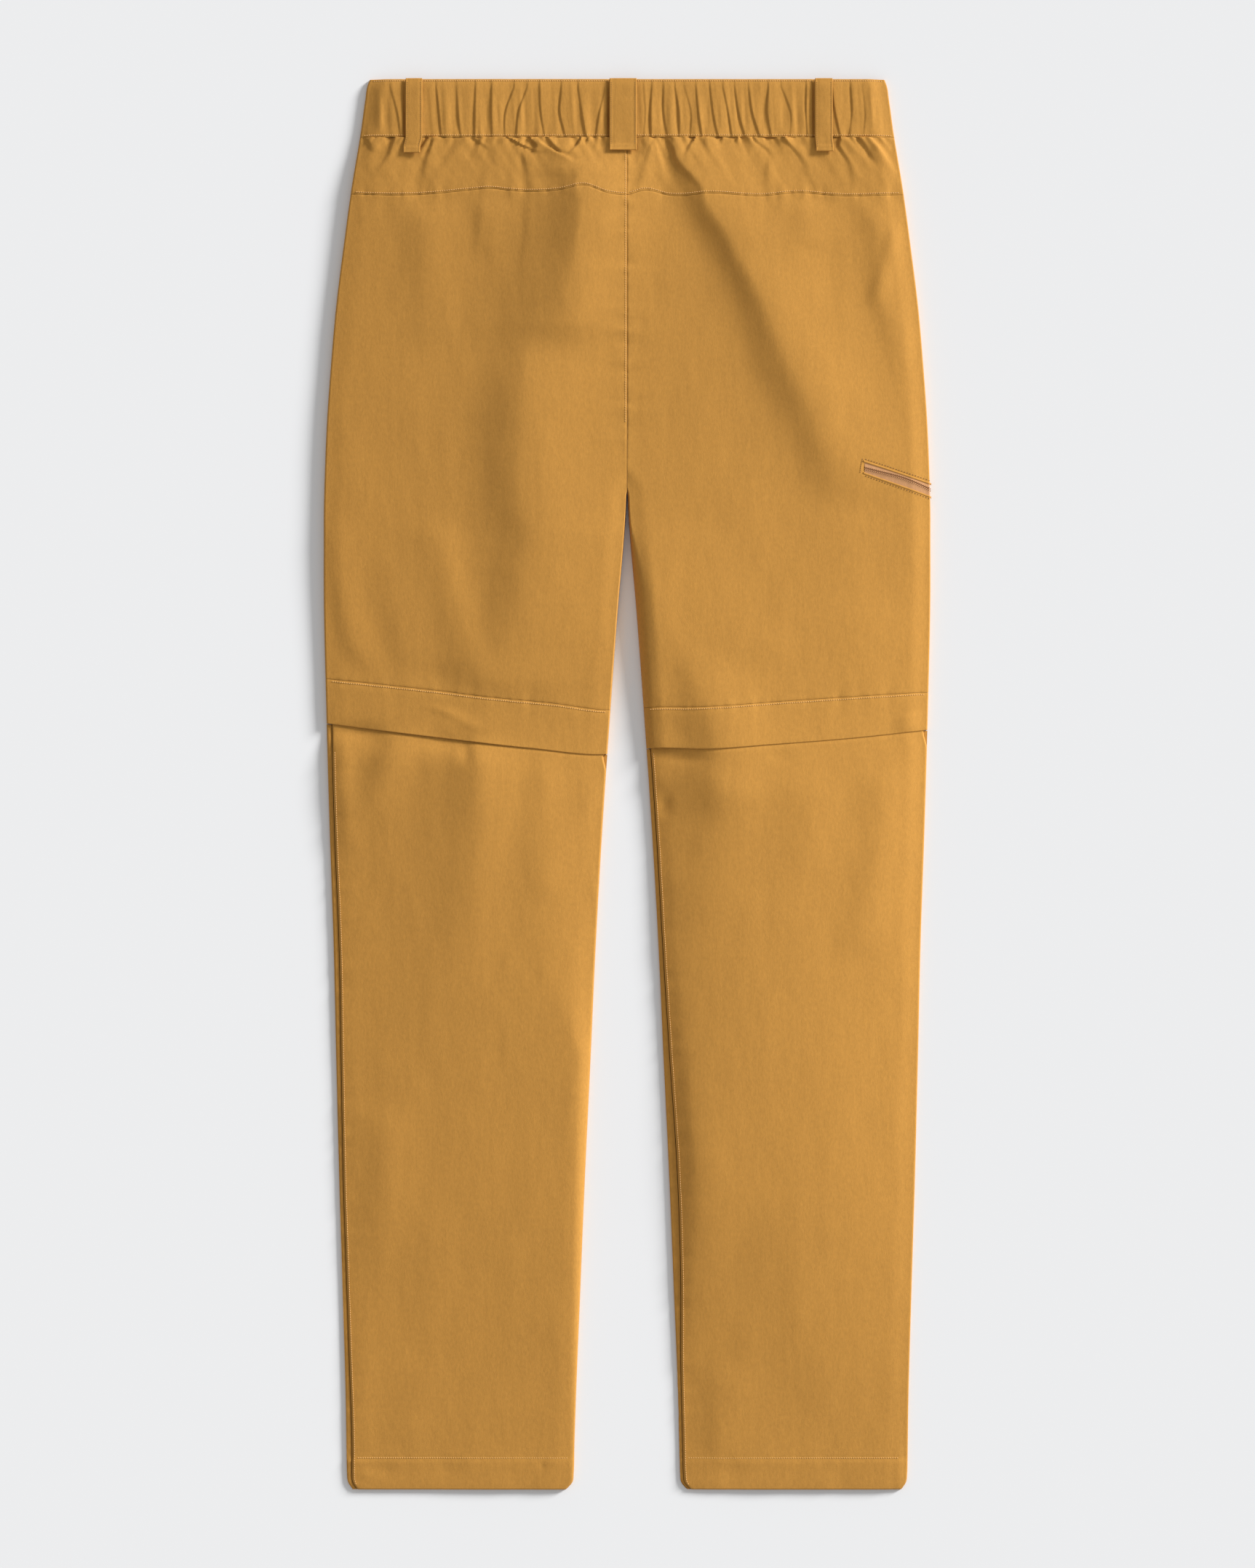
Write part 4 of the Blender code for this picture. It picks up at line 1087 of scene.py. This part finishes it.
def stitch_row(name, face, line, stitch=SEAM_STITCH, finish=None, crosswise=False):
    """Stitches along a line of (x, height) points, lying on the cloth's face. Crosswise makes zip teeth."""
    line = np.asarray(line, float)
    steps = np.concatenate(([0.0], np.cumsum(np.linalg.norm(np.diff(line, axis=0), axis=1))))

    def at(run):
        return np.stack((np.interp(run, steps, line[:, 0]), np.interp(run, steps, line[:, 1])), 1)

    middles = np.arange(stitch.spacing, steps[-1], stitch.spacing)
    x, height = at(middles).T
    ahead = unit(at(middles + 0.5) - at(middles - 0.5))
    if crosswise:
        ahead = np.stack((-ahead[:, 1], ahead[:, 0]), 1)
    z = face(x, height)
    slope_x = (face(x + SLOPE_STEP, height) - face(x - SLOPE_STEP, height)) / (2 * SLOPE_STEP)
    slope_y = (face(x, height + SLOPE_STEP) - face(x, height - SLOPE_STEP)) / (2 * SLOPE_STEP)
    normal = unit(np.stack((-slope_x, -slope_y, np.ones_like(z)), 1))
    run = unit(np.stack((ahead[:, 0], ahead[:, 1], ahead[:, 0] * slope_x + ahead[:, 1] * slope_y), 1))
    aside = np.cross(normal, run)
    sizes = (STITCH_POINTS * (stitch.length, stitch.width / 2, stitch.width / 2))[None]
    points = in_frame(x, height, z)[:, None] / MM + sizes[:, :, :1] * run[:, None]
    points = points + sizes[:, :, 1:2] * aside[:, None] + sizes[:, :, 2:] * normal[:, None]
    count = len(STITCH_POINTS)
    faces = [tuple(i + count * k for i in corners) for k in range(len(middles)) for corners in STITCH_FACES]
    new_piece(name, points.reshape(-1, 3) * MM, faces, finish or thread)


def offset_seam(points, low, high, offset, count=400):
    x = np.linspace(low, high, count)
    return np.stack((x, beside_seam(points, offset, x)), 1)


def level_row(left, right, height):
    return np.array(((left, height), (right, height)))


def sew_seams():
    for name, side in SIDES:
        leg_face = partial(lower_face, side)
        yoke, knee, hem = SEWN_SPANS[name]
        stitch_row(f"yoke_stitches_{name}", back_face, offset_seam(YOKE_SEAM, *yoke, 1.7))
        stitch_row(f"knee_stitches_{name}", flap_face, offset_seam(KNEE_SEAM, *knee, -1.6))
        stitch_row(f"hem_stitches_{name}", leg_face, level_row(*hem, HEM_DEPTH))
        heights = np.linspace(3.0, 558.0, 300)
        x = side_span(side, heights)[0] + roll(f"{name}_leg", heights) + 2.0
        stitch_row(f"side_stitches_{name}", leg_face, np.stack((x, heights), 1))
    stitch_row("waistband_top_stitches", band_face, level_row(-193.0, 193.0, TOTAL_LENGTH - BAND_SEWN))
    stitch_row("waistband_seam_stitches", band_face, level_row(-200.0, 200.0, BAND_SEAM + BAND_SEWN))
    centre = np.stack((np.full(200, -1.2), np.linspace(CROTCH + 4.0, BAND_SEAM - 12.0, 200)), 1)
    stitch_row("centre_back_stitches", back_face, centre)
    sew_fly()
    for name, loop in BELT_LOOPS.items():
        face = partial(loop_face, loop)
        rows = np.linspace(LOOP_TOP - 2.0, loop.foot + 4.0, 60)
        for side_name, x in (("left", loop.left + LOOP_SEWN), ("right", loop.right - LOOP_SEWN)):
            line = np.stack((x + loop_lean(loop, rows), rows), 1)
            # The belt loops' stitches take the thread darkened as painted shade
            stitch_row(f"{name}_{side_name}_stitches", face, line, LOOP_STITCH, thread_with_painted_shade)


def sew_fly():
    """Two rows curve down beside the front opening, on the side that lies on the table."""
    heights = np.linspace(BAND_SEAM - 2.0, FLY_FOOT, 120)
    curve = np.sqrt(np.clip((heights - FLY_FOOT) / 40.0, 0.0, 1.0))
    for name, inset in (("outer", 0.0), ("inner", 5.0)):
        stitch_row(f"fly_stitches_{name}", under_face, np.stack((-(FLY_WIDTH - inset) * curve, heights), 1))


def under_face(x, height):
    """Just inside the front's good side, which lies on the table."""
    return np.full_like(x, 0.12)


# The zip of the thigh pocket

def zip_line(points):
    return offset_seam(points, points[0].x, points[-1].x, offset=0.0, count=120)


def thigh_window(x, height):
    """1 inside the pocket's opening, and 0 outside it."""
    top = ease((seam(ZIP_TOP, x) - height) / 0.9 + 0.2)
    foot = ease((height - seam(ZIP_FOOT, x)) / 0.9 + 0.2)
    return top * foot * ease((x - ZIP_END) / 0.9 + 0.2)


def tape_face(x, height):
    """The tape lies in the opening, and is raised where the coil runs under its middle."""
    from_coil = height - seam(ZIP_COIL, x)
    return back_face(x, height) - TAPE_SUNK + (0.35 * bell(from_coil, 2.2) - 0.7 * bell(from_coil, 0.35))


def make_thigh_zip():
    def place(u, v):
        x = between(u, ZIP_END + 0.2, outer_edge(760.0) - 0.15)
        height = between(v, seam(ZIP_FOOT, x) - 0.5, seam(ZIP_TOP, x) + 0.5)
        return x, height, tape_face(x, height)

    laid_cloth("thigh_pocket_zip", (120, 30), place, TAPE_SHELL, tan_tape)
    for name, offset in (("upper", 0.75), ("lower", -0.75)):
        line = zip_line(ZIP_COIL) + (0.0, offset)
        stitch_row(f"thigh_zip_coil_{name}", tape_face, line, COIL_TURN, coil_plastic, crosswise=True)
    for name, points, offset, outward in (("upper", ZIP_TOP, 2.3, 1.0), ("lower", ZIP_FOOT, -2.0, -1.0)):
        make_lip(f"thigh_zip_{name}_lip", zip_line(points), outward)
        sewn = zip_line(points) + (0.0, offset)
        # The lips' stitches take the thread darkened as painted shade
        stitch_row(f"thigh_zip_{name}_stitches", back_face, sewn, LIP_STITCH, thread_with_painted_shade)
    end = ((ZIP_END - 3.4, 767.6), (ZIP_END - 2.8, 773.0), (ZIP_END - 1.4, 779.4))
    # The end stitches take the thread darkened as painted shade
    stitch_row("thigh_zip_end_stitches", back_face, end, END_STITCH, thread_with_painted_shade)


def make_lip(name, line, outward, half=0.5, proud=0.2):
    """A narrow turned edge of cloth along one side of the opening."""
    turns = np.linspace(0.0, np.pi, 7)
    x = line[:, :1] + np.zeros(7)
    height = line[:, 1:] + outward * half * (1.0 - np.cos(turns)) - outward * 0.2
    z = back_face(x, height) + proud * np.sin(turns) ** 0.7 - 0.12
    corners = [k * 7 + j for k in range(len(line) - 1) for j in range(6)]
    faces = [(a, a + 7, a + 8, a + 1) for a in corners]
    piece = new_piece(name, in_frame(x, height, z), faces, ochre_cloth)
    start_fresh()
    bpy.context.view_layer.objects.active = piece
    piece.select_set(True)
    thicken(piece, LIP_SHELL, outward)


# Floor, light and camera

def make_floor():
    start_fresh()
    bpy.ops.mesh.primitive_plane_add(size=8.0, location=(0.0, 0.0, -0.0003))
    floor = bpy.context.object
    floor.name = "floor"
    floor.data.materials.append(make_plain("Pale floor", PALE_FLOOR, 0.9, Specular_IOR_Level=0.0))
    return floor


def make_light():
    bpy.ops.object.light_add(type="SUN")
    sun = bpy.context.object
    sun.name = "Soft key"
    sun.data.energy = KEY
    sun.data.angle = np.radians(SUN_ANGLE)
    sun.rotation_euler = (np.radians(90.0 - SUN_HEIGHT), 0.0, np.radians(90.0 + SUN_SIDE))
    world = bpy.data.worlds.new("Studio")
    bpy.context.scene.world = world
    world.use_nodes = True
    set_inputs(world.node_tree.nodes["Background"], Color=(1.0, 1.0, 1.0, 1.0), Strength=FILL)


def make_side_lamp(floor):
    """A weak lamp at the garment's right. The floor is left out, so that it stays even."""
    bpy.ops.object.light_add(type="AREA", location=LAMP_PLACE)
    lamp = bpy.context.object
    lamp.name = "Side lamp"
    lamp.data.shape = "DISK"
    lamp.data.size = LAMP_SIZE
    lamp.data.energy = LAMP_POWER
    lamp.rotation_euler = (0.0, np.arctan2(LAMP_PLACE[0], LAMP_PLACE[2]), 0.0)
    left_out = bpy.data.collections.new("Not lit by the side lamp")
    left_out.objects.link(floor)
    left_out.collection_objects[0].light_linking.link_state = "EXCLUDE"
    lamp.light_linking.receiver_collection = left_out


def make_camera():
    bpy.ops.object.camera_add(location=CAMERA_PLACE)
    camera = bpy.context.object
    camera.rotation_euler = (0.0, 0.0, 0.0)
    camera.data.lens = CAMERA_LENS
    camera.data.sensor_width = 36.0
    bpy.context.scene.camera = camera


# The scene

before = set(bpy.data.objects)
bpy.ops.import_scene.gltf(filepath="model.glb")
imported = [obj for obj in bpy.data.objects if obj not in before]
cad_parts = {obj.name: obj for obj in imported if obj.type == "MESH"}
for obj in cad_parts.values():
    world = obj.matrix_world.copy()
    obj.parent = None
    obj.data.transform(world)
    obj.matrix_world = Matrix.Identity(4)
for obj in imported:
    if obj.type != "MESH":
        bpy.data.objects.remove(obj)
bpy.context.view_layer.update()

weave = make_weave()
ochre_cloth = make_cloth("Ochre cloth", OCHRE, weave, thread=0.55, sheen=0.08, roughness=0.85)
tan_tape = make_cloth("Tan zip tape", TAN_TAPE, weave, thread=0.7, sheen=0.1, roughness=0.8)
# The seams' thread: its ochre made lighter than the cloth as painted sheen
thread = make_plain("Ochre thread with painted sheen", THREAD_WITH_PAINTED_SHEEN, 0.6)
# The same thread made darker: painted shade
thread_with_painted_shade = make_plain("Thread with painted shade", PAINTED_SHADE_THREAD, 0.8)
coil_plastic = make_plain("Tan coil", TAN_COIL, 0.5)

make_waistband()
make_seat_and_thighs()
make_flaps()
make_knee_zips()
for side_name, side_sign in SIDES:
    make_lower_leg(side_name, side_sign)
for loop_name, belt_loop in BELT_LOOPS.items():
    make_belt_loop(loop_name, belt_loop)
make_thigh_zip()
sew_seams()
for node_name in ("knee_zip_front_left", "knee_zip_front_right", "fly_zip"):
    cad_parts[node_name].data.materials[0] = tan_tape
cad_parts["waist_snap"].data.materials[0] = make_metal("Snap metal")

make_side_lamp(make_floor())
make_light()
make_camera()
bpy.context.scene.view_settings.view_transform = "Standard"
